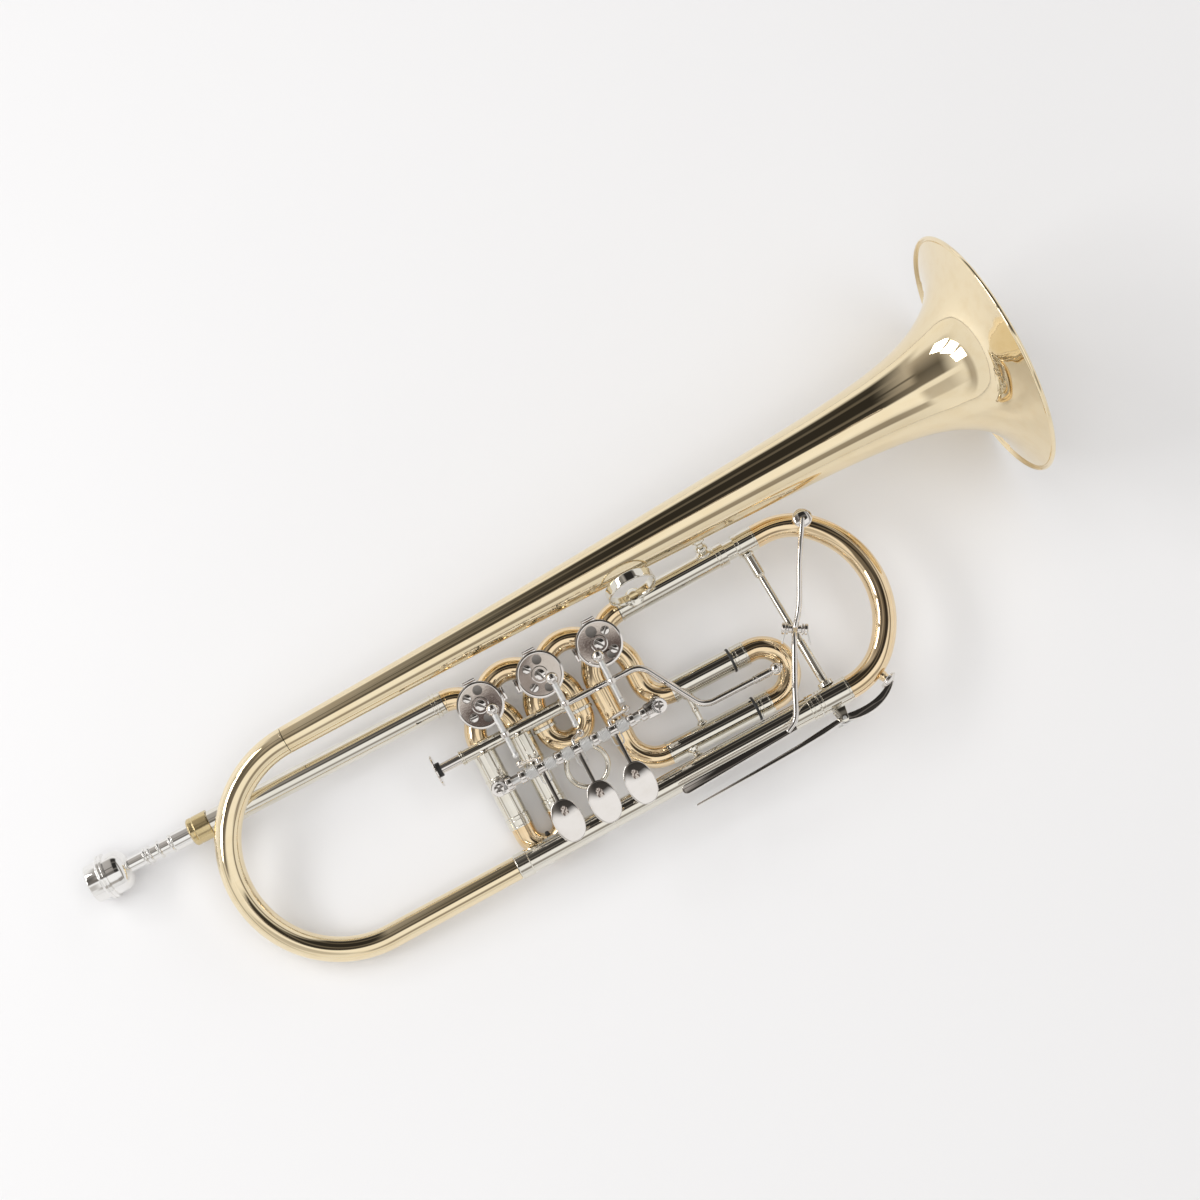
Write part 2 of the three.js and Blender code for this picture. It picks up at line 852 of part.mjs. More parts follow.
function kneeRoute(x, side) {
  return new Route(point(x + side * kneeStart, -kneeStart), point(side, -1))
    .bend(kneeRadius, -side * Math.PI / 4, quarterSteps - 1);
}

// A bored tube over a route: rings stand proud at some runs, and the bore goes in from the end.
function valveTube(route, rings, boreDepth) {
  const end = route.last.run;
  const outline = [[0, 0], [0, knuckleRadius]];
  for (const [start, width] of rings) {
    const before = outline[outline.length - 1][1];
    outline.push([start, before], [start, slideTubeRadius + legRing.height]);
    outline.push([start + width, slideTubeRadius + legRing.height], [start + width, slideTubeRadius]);
  }
  outline.push([end, slideTubeRadius], [end, slideBoreRadius]);
  outline.push([end - boreDepth, slideBoreRadius], [end - boreDepth, 0]);
  return bent(route, outline, kneeSides);
}

const sides = { left: -1, right: 1 };
for (const [label, side] of Object.entries(sides)) {
  const route = kneeRoute(valveX[0], side);
  const knee = route.last.run;
  route.straight(firstSlide.tubeEnd - elbowReach);
  const rings = [[knee, legRing.width], [knee + firstSlide.ringPlace - elbowReach, legRing.width]];
  const tube = valveTube(route, rings, firstSlide.tubeEnd - firstSlide.legTop + gap);
  addPiece(instrument, `first_valve_tube_${label}`, shaped([tube], [casingCutter(valveX[0])]), nickelSilver);
}
for (const [label, side] of Object.entries(sides)) {
  const route = kneeRoute(valveX[1], side);
  const knee = route.last.run;
  route.straight(secondSlide.tubeEnd - elbowReach);
  const tube = valveTube(route, [[knee, legRing.width]], secondSlide.tubeEnd - secondSlide.legTop + gap);
  addPiece(instrument, `second_valve_tube_${label}`, shaped([tube], [casingCutter(valveX[1])]), nickelSilver);
}

const lowerKnee = kneeRoute(valveX[2], -1);
lowerKnee.straight(thirdSlide.lowerLine - thirdSlide.lowerBend - elbowReach)
  .bend(thirdSlide.lowerBend, Math.PI / 2, quarterSteps + 1);
const lowerBendEnd = lowerKnee.last.run;
lowerKnee.straight(thirdSlide.tubeEnd - (valveX[2] - portOffset) - thirdSlide.lowerBend);
const upperKnee = kneeRoute(valveX[2], 1);
upperKnee.straight(thirdSlide.upperLine - thirdSlide.upperBend - elbowReach)
  .bend(thirdSlide.upperBend, Math.PI / 2, quarterSteps);
const upperBendEnd = upperKnee.last.run;
upperKnee.straight(thirdSlide.tubeEnd - (valveX[2] + portOffset) - thirdSlide.upperBend);
const thirdBore = thirdSlide.tubeEnd - thirdSlide.legStart + gap;
addPiece(instrument, 'third_valve_tube_lower', shaped(
  [valveTube(lowerKnee, [[lowerBendEnd, legRing.width]], thirdBore)],
  [casingCutter(valveX[2])],
), nickelSilver);
addPiece(instrument, 'third_valve_tube_upper', shaped(
  [valveTube(upperKnee, [[upperBendEnd, legRing.width]], thirdBore)],
  [casingCutter(valveX[2])],
), nickelSilver);

// The rotors in their casings, with the bottom caps, stop plates and stop discs

const casingOutline = [
  [casing.boreRadius, -casing.halfHeight],
  [casing.collarRadius, -casing.halfHeight],
  [casing.collarRadius, -casing.halfHeight + casing.collarHeight],
  [casing.radius, -casing.halfHeight + casing.collarHeight],
  [casing.radius, casing.halfHeight],
  [casing.roofRadius, casing.roofTop],
  [spindleRadius + gap, casing.roofTop],
  [spindleRadius + gap, casing.roof],
  [casing.boreRadius, casing.roof],
  [casing.boreRadius, -casing.halfHeight],
];

const capTop = -casing.halfHeight - gap;
const capOutline = [
  [0, capTop - bottomCap.floor],
  [bottomCap.radius - bottomCap.lipWall, capTop - bottomCap.floor],
  [bottomCap.radius - bottomCap.lipWall, capTop],
  [bottomCap.radius, capTop],
  [bottomCap.radius, capTop - bottomCap.depth + bottomCap.edge],
  [bottomCap.radius - bottomCap.edge, capTop - bottomCap.depth],
  [bottomCap.recessRadius, capTop - bottomCap.depth],
  [bottomCap.recessRadius, capTop - bottomCap.depth + bottomCap.recessDepth],
  [0, capTop - bottomCap.depth + bottomCap.recessDepth],
];

const plateFoot = casing.roofTop + gap;
const plateTop = plateFoot + stopPlate.thickness;
const discFoot = plateTop + gap;
const discTop = discFoot + disc.thickness;
const rotorRadius = casing.boreRadius - gap;
const rotorTop = casing.roof - gap;
const rotorFoot = capTop - bottomCap.floor + gap;
const lugPlaces = [[Math.PI / 2, 0], [Math.PI / 2, Math.PI], [Math.PI / 2, Math.PI]];

function rotorGeometry() {
  const body = turned([
    [0, rotorFoot],
    [spindleRadius, rotorFoot],
    [spindleRadius, -casing.halfHeight + gap],
    [rotorRadius, -casing.halfHeight + gap],
    [rotorRadius, rotorTop],
    [spindleRadius, rotorTop],
    [spindleRadius, discTop],
    [0, discTop],
  ], turnedSides);
  // Each channel is a quarter turn from one port to the next, round a point outside the rotor.
  const channels = [1, -1].map((side) => {
    const reach = rotorRadius + overrun;
    const diagonal = reach * Math.SQRT1_2;
    const route = new Route(point(-diagonal, side * diagonal), point(1, -side))
      .straight(overrun)
      .bend(rotorRadius, side * Math.PI / 2, quarterSteps)
      .straight(overrun);
    return plainBent(route, rotorChannelRadius, thinSides);
  });
  return shaped([body], channels);
}

function stopPlateGeometry(lugs) {
  const ring = turned([
    [spindleRadius + gap, plateFoot],
    [stopPlate.radius, plateFoot],
    [stopPlate.radius, plateTop],
    [spindleRadius + gap, plateTop],
    [spindleRadius + gap, plateFoot],
  ], turnedSides);
  const inner = disc.radius + gap;
  const pieces = lugs.map((angle) => {
    const profile = new THREE.Shape();
    profile.moveTo(stopPlate.radius - stopPlate.lugWall, plateFoot);
    profile.lineTo(inner + stopPlate.lugWall, plateFoot);
    profile.lineTo(inner + stopPlate.lugWall, plateFoot + stopPlate.lugHeight);
    profile.lineTo(inner, plateFoot + stopPlate.lugHeight);
    profile.lineTo(inner, plateTop);
    profile.lineTo(stopPlate.radius - stopPlate.lugWall, plateTop);
    return new THREE.ExtrudeGeometry(profile, { depth: stopPlate.lugWidth, bevelEnabled: false, steps: 1 })
      .translate(0, 0, -stopPlate.lugWidth / 2)
      .rotateX(Math.PI / 2)
      .rotateZ(angle);
  });
  return shaped([ring, ...pieces]);
}

const leverArm = Math.hypot(leverDrop, leverReach);
const leverAngle = Math.atan2(leverReach, leverDrop);
const rodTravel = leverArm * (Math.sin(leverAngle + leverStroke) - Math.sin(leverAngle));
const crankRadii = cranks.map(({ angle, turn }) => (
  rodTravel / (Math.sin(angle + turn * rotorStroke) - Math.sin(angle))
));

function discGeometry(index) {
  const pin = point(Math.cos(cranks[index].angle), Math.sin(cranks[index].angle))
    .multiplyScalar(crankRadii[index]);
  const plate = turned([
    [spindleRadius + gap, discFoot],
    [disc.radius, discFoot],
    [disc.radius, discTop + disc.rimHeight],
    [disc.radius - disc.rimWidth, discTop + disc.rimHeight],
    [disc.radius - disc.rimWidth, discTop],
    [disc.hubRadius, discTop],
    [disc.hubRadius, discTop + disc.hubHeight],
    [disc.screwRadius, discTop + disc.hubHeight],
    [disc.screwRadius, discTop + disc.hubHeight + disc.screwHeight],
    [0, discTop + disc.hubHeight + disc.screwHeight],
    [0, discTop + gap],
    [spindleRadius + gap, discTop + gap],
    [spindleRadius + gap, discFoot],
  ], discSides);
  const stud = turned([
    [0, discTop - overrun],
    [ballStudRadius, discTop - overrun],
    [ballStudRadius, rodPlane - ballRadius],
    [ballRadius, rodPlane - ballRadius / 2],
    [ballRadius, rodPlane + ballRadius / 2],
    [0, rodPlane + ballRadius],
  ], rodSides).translate(pin.x, pin.y, 0);
  const recesses = [Math.PI / 2, -Math.PI / 2].map((angle) => {
    const centre = point(Math.cos(angle + disc.recessLean), Math.sin(angle + disc.recessLean))
      .multiplyScalar(disc.recessPlace);
    return turned([
      [0, discTop - disc.recessDepth],
      [disc.recessRadius, discTop - disc.recessDepth],
      [disc.recessRadius, discTop + overrun],
      [0, discTop + overrun],
    ], rodSides + 2).translate(centre.x, centre.y, 0);
  });
  const clear = recesses.filter((_, side) => {
    const angle = [Math.PI / 2, -Math.PI / 2][side] + disc.recessLean;
    const centre = point(Math.cos(angle), Math.sin(angle)).multiplyScalar(disc.recessPlace);
    return centre.distanceTo(pin) > disc.recessRadius + ballRadius;
  });
  return shaped([plate, stud], clear);
}

valveX.forEach((x, index) => {
  const number = index + 1;
  const place = new THREE.Group();
  place.position.set(x, 0, 0);
  instrument.add(place);
  addPiece(place, `casing_${number}`, turned(casingOutline, turnedSides), nickelSilver);
  addPiece(place, `bottom_cap_${number}`, turned(capOutline, turnedSides), polishedNickel);
  addPiece(place, `stop_plate_${number}`, stopPlateGeometry(lugPlaces[index]), polishedNickel);
  addPiece(place, `rotor_${number}`, rotorGeometry(), nickelSilver);
  addPiece(place, `stop_disc_${number}`, discGeometry(index), polishedNickel);
});

// The connecting rods, each from the ball on its stop disc to the ball on its lever

const rodPlaces = cranks.map(({ angle }, index) => point(
  valveX[index] + crankRadii[index] * Math.cos(angle),
  crankRadii[index] * Math.sin(angle),
  rodPlane,
));
const leverBallPlace = axle.y + leverReach;

rodPlaces.forEach((place, index) => {
  const length = place.y - leverBallPlace - lever.ballRadius - openPivotGap;
  const nutStart = rod.sleeveLength + gap;
  const shaft = turnedAlong([
    [0, rod.socketBore + gap],
    [rod.sleeveRadius, rod.socketBore + gap],
    [rod.sleeveRadius, rod.sleeveLength],
    [rod.nutRadius, nutStart],
    [rod.nutRadius, nutStart + rod.nutLength],
    [rod.shaftRadius, nutStart + rod.nutLength],
    [rod.shaftRadius, length - rod.collarLength],
    [rod.collarRadius, length - rod.collarLength],
    [rod.collarRadius, length],
    [0, length],
  ], rodSides, point(0, 0), point(0, -1));
  const socket = turned([
    [rod.socketBore, -rod.socketHalf],
    [rod.socketRadius - gap, -rod.socketHalf],
    [rod.socketRadius, -rod.socketHalf + gap],
    [rod.socketRadius, rod.socketHalf],
    [rod.socketRadius * rod.domeShare, rod.socketHalf + rod.socketDome],
    [0, rod.socketHalf + rod.socketDome],
    [0, rod.socketHalf],
    [rod.socketBore, rod.socketHalf],
    [rod.socketBore, -rod.socketHalf],
  ], rodSides + 4);
  const mesh = addPiece(instrument, `connecting_rod_${index + 1}`, shaped([socket, shaft]), springSteel);
  mesh.position.copy(place);
});

// The finger levers: a hub on the axle, a stem with its paddle, and a bent arm down to the ball

function leverGeometry(index) {
  const ballX = rodPlaces[index].x - leverPlaces[index];
  const hub = turnedAlong([
    [0, -lever.hubHalf],
    [lever.hubRadius, -lever.hubHalf],
    [lever.hubRadius, lever.hubHalf],
    [0, lever.hubHalf],
  ], rodSides + 4, point(0, 0), X);
  const stemEnd = -lever.paddleReach + lever.paddleLength / 4;
  const lift = lever.paddleRise;
  const stemHalf = lever.stemHeight / 2;
  const profile = new THREE.Shape();
  profile.moveTo(0, -stemHalf);
  profile.lineTo(0, stemHalf);
  profile.bezierCurveTo(stemEnd / 3, stemHalf, stemEnd / 2, lift, stemEnd, lift + gap);
  profile.lineTo(stemEnd, lift - lever.paddleThickness / 2);
  profile.bezierCurveTo(stemEnd / 2, lift - lever.stemHeight, stemEnd / 3, -stemHalf, 0, -stemHalf);
  const stem = new THREE.ExtrudeGeometry(profile, {
    depth: lever.stemWidth, bevelEnabled: false, steps: 1, curveSegments: quarterSteps,
  }).translate(0, 0, -lever.stemWidth / 2).applyMatrix4(new THREE.Matrix4().makeBasis(Y, Z, X));
  const outline = new THREE.Shape().absellipse(
    0,
    0,
    lever.paddleWidth / 2 - lever.paddleEdge,
    lever.paddleLength / 2 - lever.paddleEdge,
    0,
    2 * Math.PI,
  );
  const paddle = new THREE.ExtrudeGeometry(outline, {
    depth: lever.paddleThickness - 2 * lever.paddleEdge,
    bevelSize: lever.paddleEdge,
    bevelThickness: lever.paddleEdge,
    bevelSegments: 1,
    curveSegments: rodSides + 2,
  }).translate(0, -lever.paddleReach, lift - lever.paddleThickness / 2 + lever.paddleEdge);
  const arm = curvedRod([
    point(0, lever.hubRadius / 2),
    point(0, leverReach - gap, -lever.armRadius / 2),
    point(ballX / 2, leverReach + gap, -leverDrop / 4),
    point(ballX, leverReach, -leverDrop / 2),
    point(ballX, leverReach, -leverDrop),
  ], lever.armRadius, 2 * quarterSteps);
  const ball = new THREE.SphereGeometry(lever.ballRadius, rodSides + 2, rodSides - 2)
    .translate(ballX, leverReach, -leverDrop);
  const bore = turnedAlong([
    [0, -lever.hubHalf - overrun],
    [axle.radius + gap, -lever.hubHalf - overrun],
    [axle.radius + gap, lever.hubHalf + overrun],
    [0, lever.hubHalf + overrun],
  ], rodSides, point(0, 0), X);
  return shaped([hub, stem, paddle, arm, ball], [bore]);
}

// A lever's spring is one wire: a foot on the rail, a coil, a hook under the stem, a coil and a foot.
// Each coil ends on the stem's side, so the hook stays clear of the rail when the lever is pressed.
function leverSpringPoints() {
  const steps = (spring.curls - 1 / 4) * wireSteps;
  const coilStart = lever.hubHalf + spring.start;
  const coilEnd = coilStart + steps * spring.pitch / wireSteps;
  const half = [point(coilEnd, -spring.footLength, -spring.coilRadius)];
  half.push(point(coilEnd, -2 * spring.wireRadius, -spring.coilRadius));
  for (let step = 0; step <= steps; step += 1) {
    const angle = -Math.PI / 2 + 2 * Math.PI * step / wireSteps;
    half.push(point(
      coilEnd - spring.pitch * step / wireSteps,
      spring.coilRadius * Math.cos(angle),
      spring.coilRadius * Math.sin(angle),
    ));
  }
  const hookZ = -lever.stemHeight / 2 - spring.wireRadius - gap;
  half.push(point(coilStart, -spring.hookReach + spring.wireRadius * 4, hookZ - spring.wireRadius));
  half.push(point(coilStart - spring.wireRadius * 2, -spring.hookReach, hookZ));
  const other = half.map((place) => point(-place.x, place.y, place.z)).reverse();
  return [...half, ...other];
}

const leverSpring = leverSpringPoints();
console.log('least gap of a lever spring to itself', leastWireGap(leverSpring, spring.wireRadius).toFixed(2));

leverPlaces.forEach((x, index) => {
  const place = new THREE.Group();
  place.position.set(x, axle.y, axle.z);
  instrument.add(place);
  addPiece(place, `finger_lever_${index + 1}`, leverGeometry(index), polishedNickel);
  const coils = wireThrough(leverSpring, spring.wireRadius, wireSides);
  addPiece(place, `lever_spring_${index + 1}`, coils, springSteel);
});

// The lever axle and the rail that carries it over the valve tubes

addPiece(instrument, 'lever_axle', rodBetween(
  point(axle.start, axle.y, axle.z),
  point(axle.end, axle.y, axle.z),
  axle.radius,
  rodSides,
), springSteel);

const railTop = axle.z - spring.coilRadius - spring.wireRadius - 2 * gap;
const railFoot = railTop - rail.thickness;

function railGeometry() {
  const half = rail.width / 2;
  const bossPlaces = [valveX[0] - portOffset, rail.end - rail.bossRadius];
  const outline = new THREE.Shape()
    .moveTo(bossPlaces[0], axle.y - half)
    .lineTo(bossPlaces[1], axle.y - half)
    .lineTo(bossPlaces[1], axle.y + half)
    .lineTo(bossPlaces[0], axle.y + half);
  const plate = new THREE.ExtrudeGeometry(outline, {
    depth: rail.thickness, bevelEnabled: false, steps: 1, curveSegments: quarterSteps + 2,
  }).translate(0, 0, railFoot);
  const standing = [
    ...rail.postPlaces.map((x) => [x, rail.postWidth]),
    ...rail.blockPlaces.map((x) => [x, rail.blockWidth]),
  ].map(([x, width]) => {
    const post = new THREE.Shape()
      .moveTo(axle.y - rail.postDepth / 2, railTop - rail.thickness / 2)
      .lineTo(axle.y + rail.postDepth / 2, railTop - rail.thickness / 2)
      .absarc(axle.y, axle.z, rail.postDepth / 2, 0, Math.PI);
    return new THREE.ExtrudeGeometry(post, {
      depth: width, bevelEnabled: false, steps: 1, curveSegments: quarterSteps,
    }).translate(0, 0, -width / 2).applyMatrix4(new THREE.Matrix4().makeBasis(Y, Z, X)).translate(x, 0, 0);
  });
  const legs = bossPlaces.map((x) => turned([
    [0, 0],
    [rail.footRadius, 0],
    [rail.footRadius, slideTubeRadius + rail.footHeight],
    [rail.legRadius, slideTubeRadius + rail.footHeight],
    [rail.legRadius, railFoot],
    [rail.bossRadius, railFoot],
    [rail.bossRadius, railTop],
    [0, railTop],
  ], rodSides).translate(x, axle.y, 0));
  const cones = [valveX[0] + portOffset, valveX[2] - portOffset].map((x) => turned([
    [0, 0],
    [rail.coneFoot, 0],
    [rail.coneFoot, slideTubeRadius + rail.footHeight],
    [rail.coneTop, railFoot + gap],
    [0, railFoot + gap],
  ], rodSides).translate(x, axle.y, 0));
  const bore = rodBetween(
    point(axle.start - overrun, axle.y, axle.z),
    point(axle.end + overrun, axle.y, axle.z),
    axle.radius + gap,
    rodSides,
  );
  const footCutters = [
    ...Object.values(sides).map((side) => {
      const route = kneeRoute(valveX[0], side).straight(firstSlide.tubeEnd - elbowReach);
      return plainBent(route, slideTubeRadius + gap, kneeSides);
    }),
    plainBent(lowerKnee, slideTubeRadius + gap, kneeSides),
    plainBent(upperKnee, slideTubeRadius + gap, kneeSides),
    box(3 * rail.end, 3 * rail.width, slideTubeRadius, point(0, axle.y, -slideTubeRadius / 2)),
  ];
  return shaped([plate, ...standing, ...legs, ...cones], [bore, ...footCutters]);
}
addPiece(instrument, 'lever_rail', railGeometry(), polishedNickel);

// The valve slides: each is a bow with two legs, drawn as one tube with its radius stepping

function slideGeometry(route, ferrules, bowRadius) {
  const end = route.last.run;
  const [firstStart, firstEnd] = ferrules[0];
  const [lastStart, lastEnd] = ferrules[1];
  return bent(route, [
    [0, 0],
    [0, slideLegRadius],
    [firstStart, slideLegRadius],
    [firstStart, ferruleRadius],
    [firstEnd, ferruleRadius],
    [firstEnd, bowRadius],
    [lastStart, bowRadius],
    [lastStart, ferruleRadius],
    [lastEnd, ferruleRadius],
    [lastEnd, slideLegRadius],
    [end, slideLegRadius],
    [end, 0],
  ], kneeSides);
}

function hangingSlide(x, size, bowRadius) {
  const route = new Route(point(x - portOffset, -size.legTop), point(0, -1))
    .straight(size.bowCentre - size.legTop)
    .bend(portOffset, Math.PI, 2 * quarterSteps)
    .straight(size.bowCentre - size.legTop);
  const ferruleStart = size.tubeEnd + gap - size.legTop;
  const ferruleEnd = ferruleStart + size.ferrule;
  const total = route.last.run;
  return slideGeometry(route, [
    [ferruleStart, ferruleEnd], [total - ferruleEnd, total - ferruleStart],
  ], bowRadius);
}

addPiece(instrument, 'first_slide', hangingSlide(valveX[0], firstSlide, slideBowRadius), roseBrass);
const pullRing = new THREE.TorusGeometry(secondSlide.pullRadius, secondSlide.pullWire, rodSides - 2, turnedSides)
  .translate(valveX[1], -secondSlide.bowCentre - portOffset - secondSlide.pullDrop, secondSlide.pullHeight);
addPiece(instrument, 'second_slide', shaped(
  [hangingSlide(valveX[1], secondSlide, secondSlide.bowRadius), pullRing],
), roseBrass);

const thirdGap = thirdSlide.lowerLine - thirdSlide.upperLine;
const thirdRoute = new Route(point(thirdSlide.legStart, -thirdSlide.upperLine), X)
  .straight(thirdSlide.bowStart - thirdSlide.legStart)
  .bend(thirdGap / 2, -Math.PI, 2 * quarterSteps)
  .straight(thirdSlide.bowStart - thirdSlide.legStart);
const thirdFerrule = thirdSlide.tubeEnd + gap - thirdSlide.legStart;
addPiece(instrument, 'third_slide', slideGeometry(thirdRoute, [
  [thirdFerrule, thirdFerrule + thirdSlide.ferrule],
  [thirdRoute.last.run - thirdFerrule - thirdSlide.ferrule, thirdRoute.last.run - thirdFerrule],
], slideBowRadius), roseBrass);
addPiece(instrument, 'third_slide_brace', shaped([turnedAlong([
  [0, 0],
  [brace.footRadius, 0],
  [brace.footRadius, slideTubeRadius + brace.footLength],
  [brace.radius, slideTubeRadius + brace.footLength],
  [brace.radius, thirdGap - slideTubeRadius - brace.footLength],
  [brace.footRadius, thirdGap - slideTubeRadius - brace.footLength],
  [brace.footRadius, thirdGap],
  [0, thirdGap],
], rodSides, point(brace.place, -thirdSlide.upperLine), point(0, -1))], [
  plainBent(upperKnee, slideTubeRadius + gap, kneeSides),
  plainBent(lowerKnee, slideTubeRadius + gap, kneeSides),
]), nickelSilver);

// The third slide's trigger: a guide tube across the valve tubes, and the push rod that runs in it

const triggerZ = slideTubeRadius + legRing.height + trigger.guideRadius + gap;
const guideLength = trigger.guideEnd - trigger.guideStart;
const guideBore = trigger.guideRadius - trigger.guideWall;
addPiece(instrument, 'trigger_guide', turnedAlong([
  [guideBore, 0],
  [trigger.collarRadius, 0],
  [trigger.collarRadius, trigger.collarLength],
  [trigger.guideRadius, trigger.collarLength],
  [trigger.guideRadius, guideLength - trigger.collarLength],
  [trigger.collarRadius, guideLength - trigger.collarLength],
  [trigger.collarRadius, guideLength],
  [trigger.rodRadius + gap, guideLength],
  [trigger.rodRadius + gap, guideLength - trigger.collarLength],
  [guideBore, guideLength - trigger.collarLength],
  [guideBore, 0],
], rodSides + 2, point(trigger.guideStart, trigger.y, triggerZ), X), nickelSilver);

const triggerDrop = (thirdSlide.upperLine + thirdSlide.lowerLine) / 2 + trigger.y;
const bendDrop = trigger.bendRadius * (1 - Math.cos(trigger.bendAngle));
const slope = (triggerDrop - 2 * bendDrop) / Math.sin(trigger.bendAngle);
const triggerRoute = new Route(point(trigger.discPlace, trigger.y, triggerZ), X)
  .straight(trigger.bendStart - trigger.discPlace)
  .bend(trigger.bendRadius, -trigger.bendAngle, quarterSteps)
  .straight(slope)
  .bend(trigger.bendRadius, trigger.bendAngle, quarterSteps);
triggerRoute.straight(trigger.ballPlace - triggerRoute.last.at.x);
const triggerEnd = triggerRoute.last.run;
const afterDisc = (x) => x - trigger.discPlace;
const beforeBall = (x) => triggerEnd - (trigger.ballPlace - x);
const triggerRod = bent(triggerRoute, [
  [0, 0],
  [0, trigger.discRadius],
  [trigger.discThickness, trigger.discRadius],
  [trigger.discThickness, trigger.bumperRadius],
  [trigger.discThickness + trigger.bumperLength, trigger.bumperRadius],
  [trigger.discThickness + trigger.bumperLength, trigger.plungerRadius],
  [afterDisc(trigger.plungerEnd), trigger.plungerRadius],
  [afterDisc(trigger.plungerEnd), trigger.rodRadius],
  [beforeBall(trigger.sleeveStart), trigger.rodRadius],
  [beforeBall(trigger.sleeveStart), trigger.sleeveRadius],
  [beforeBall(trigger.sleeveEnd), trigger.sleeveRadius],
  [beforeBall(trigger.sleeveEnd), trigger.rodRadius],
  [triggerEnd, trigger.rodRadius],
  [triggerEnd, 0],
], rodSides);
const triggerBall = new THREE.SphereGeometry(trigger.ballRadius, rodSides + 2, rodSides - 2)
  .translate(trigger.ballPlace, trigger.y - triggerDrop, triggerZ);
const triggerStud = rodBetween(
  point(trigger.ballPlace, trigger.y - triggerDrop, triggerZ),
  point(trigger.ballPlace + trigger.studReach, trigger.y - triggerDrop, 0),
  trigger.studRadius,
  rodSides,
);
const thirdBowCutter = plainBent(new Route(point(thirdSlide.bowStart, -thirdSlide.upperLine), X)
  .bend(thirdGap / 2, -Math.PI, 2 * quarterSteps), slideBowRadius + gap, kneeSides);
const triggerParts = [triggerRod, triggerBall, triggerStud];
addPiece(instrument, 'trigger_rod', shaped(triggerParts, [thirdBowCutter]), polishedNickel);

// The stays between the tubes, and the finger ring

function bellRadiusAt(place) {
  const share = 1 - place / bell.length;
  const next = bellProfileShares.findIndex(([back]) => back >= share);
  const [oneBack, one] = bellProfileShares[next - 1];
  const [otherBack, other] = bellProfileShares[next];
  return bell.rimRadius * (one + (other - one) * (share - oneBack) / (otherBack - oneBack));
}

const stayOnBell = bigBowPlace + bellStay.place;
const stayStart = point(bellStay.place, 0);
const stayEnd = point(bellStay.place, bellAxis.position.y + stayOnBell * Math.sin(bellSplay), bellPlane);
const stayRun = stayStart.distanceTo(stayEnd);
const stayBellRadius = bellRadiusAt(stayOnBell);
const bellNeck = turnedAlong([
  [0, stayOnBell - 3 * bellStay.footRadius],
  [bellRadiusAt(stayOnBell - 3 * bellStay.footRadius) + gap, stayOnBell - 3 * bellStay.footRadius],
  [bellRadiusAt(stayOnBell + 3 * bellStay.footRadius) + gap, stayOnBell + 3 * bellStay.footRadius],
  [0, stayOnBell + 3 * bellStay.footRadius],
], bellSides, point(0, 0), X).applyMatrix4(new THREE.Matrix4().compose(
  bellAxis.position,
  new THREE.Quaternion().setFromAxisAngle(Z, bellSplay),
  new THREE.Vector3(1, 1, 1),
));
addPiece(canted, 'bell_stay', shaped([turnedAlong([
  [0, 0],
  [bellStay.footRadius, 0],
  [bellStay.footRadius, upperTube.radius + bellStay.footHeight],
  [bellStay.radius, upperTube.radius + bellStay.footHeight],
  [bellStay.radius, stayRun - stayBellRadius - bellStay.footHeight],
  [bellStay.footRadius, stayRun - stayBellRadius - bellStay.footHeight / 2],
  [bellStay.footRadius, stayRun - stayBellRadius / 2],
  [0, stayRun - stayBellRadius / 2],
], rodSides, stayStart, stayEnd.clone().sub(stayStart))], [
  bellNeck,
  rodBetween(point(0, 0), point(upperTube.end, 0), upperTube.radius + gap, tubeSides),
]), nickelSilver);

const cantedPlace = (place) => place.clone().applyAxisAngle(Z, bellCant).add(canted.position);
const lowerStayStart = point(outletEnd + lowerStay.place, -thirdSlide.lowerLine);
const lowerStayEnd = cantedPlace(point(lowerStay.place, lowerLine, bellPlane));
const lowerStayRun = lowerStayStart.distanceTo(lowerStayEnd);
addPiece(instrument, 'lower_tube_stay', shaped([turnedAlong([
  [0, 0],
  [lowerStay.footRadius, 0],
  [lowerStay.footRadius, slideTubeRadius + lowerStay.footHeight],
  [lowerStay.radius, slideTubeRadius + lowerStay.footHeight],
  [lowerStay.radius, lowerStayRun - lowerTube.radius - lowerStay.footHeight],
  [lowerStay.footRadius, lowerStayRun - lowerTube.radius - lowerStay.footHeight],
  [lowerStay.footRadius, lowerStayRun],
  [0, lowerStayRun],
], rodSides, lowerStayStart, lowerStayEnd.clone().sub(lowerStayStart))], [
  plainBent(lowerKnee, slideTubeRadius + gap, kneeSides),
  rodBetween(
    cantedPlace(point(-lowerTube.end, lowerLine, bellPlane)),
    cantedPlace(point(lowerTube.end, lowerLine, bellPlane)),
    lowerTube.radius + gap,
    tubeSides,
  ),
]), nickelSilver);

const ringReach = upperTube.radius + gap + fingerRing.radius;
const ringUp = point(0, Math.cos(fingerRing.tilt), Math.sin(fingerRing.tilt));
const ringMiddle = point(fingerRing.place, 0).addScaledVector(ringUp, ringReach);
const ringBand = turnedAlong([
  [fingerRing.radius - fingerRing.band, -fingerRing.width / 2],
  [fingerRing.radius, -fingerRing.width / 2],
  [fingerRing.radius, fingerRing.width / 2],
  [fingerRing.radius - fingerRing.band, fingerRing.width / 2],
  [fingerRing.radius - fingerRing.band, -fingerRing.width / 2],
], turnedSides, ringMiddle, X.clone().cross(ringUp));
const ringSaddle = turnedAlong([
  [0, 0],
  [fingerRing.saddleRadius, 0],
  [fingerRing.saddleRadius, upperTube.radius + fingerRing.saddleHeight / 2],
  [fingerRing.saddleRadius / 2, upperTube.radius + fingerRing.saddleHeight],
  [0, upperTube.radius + fingerRing.saddleHeight],
], rodSides, point(fingerRing.place, 0), ringUp);
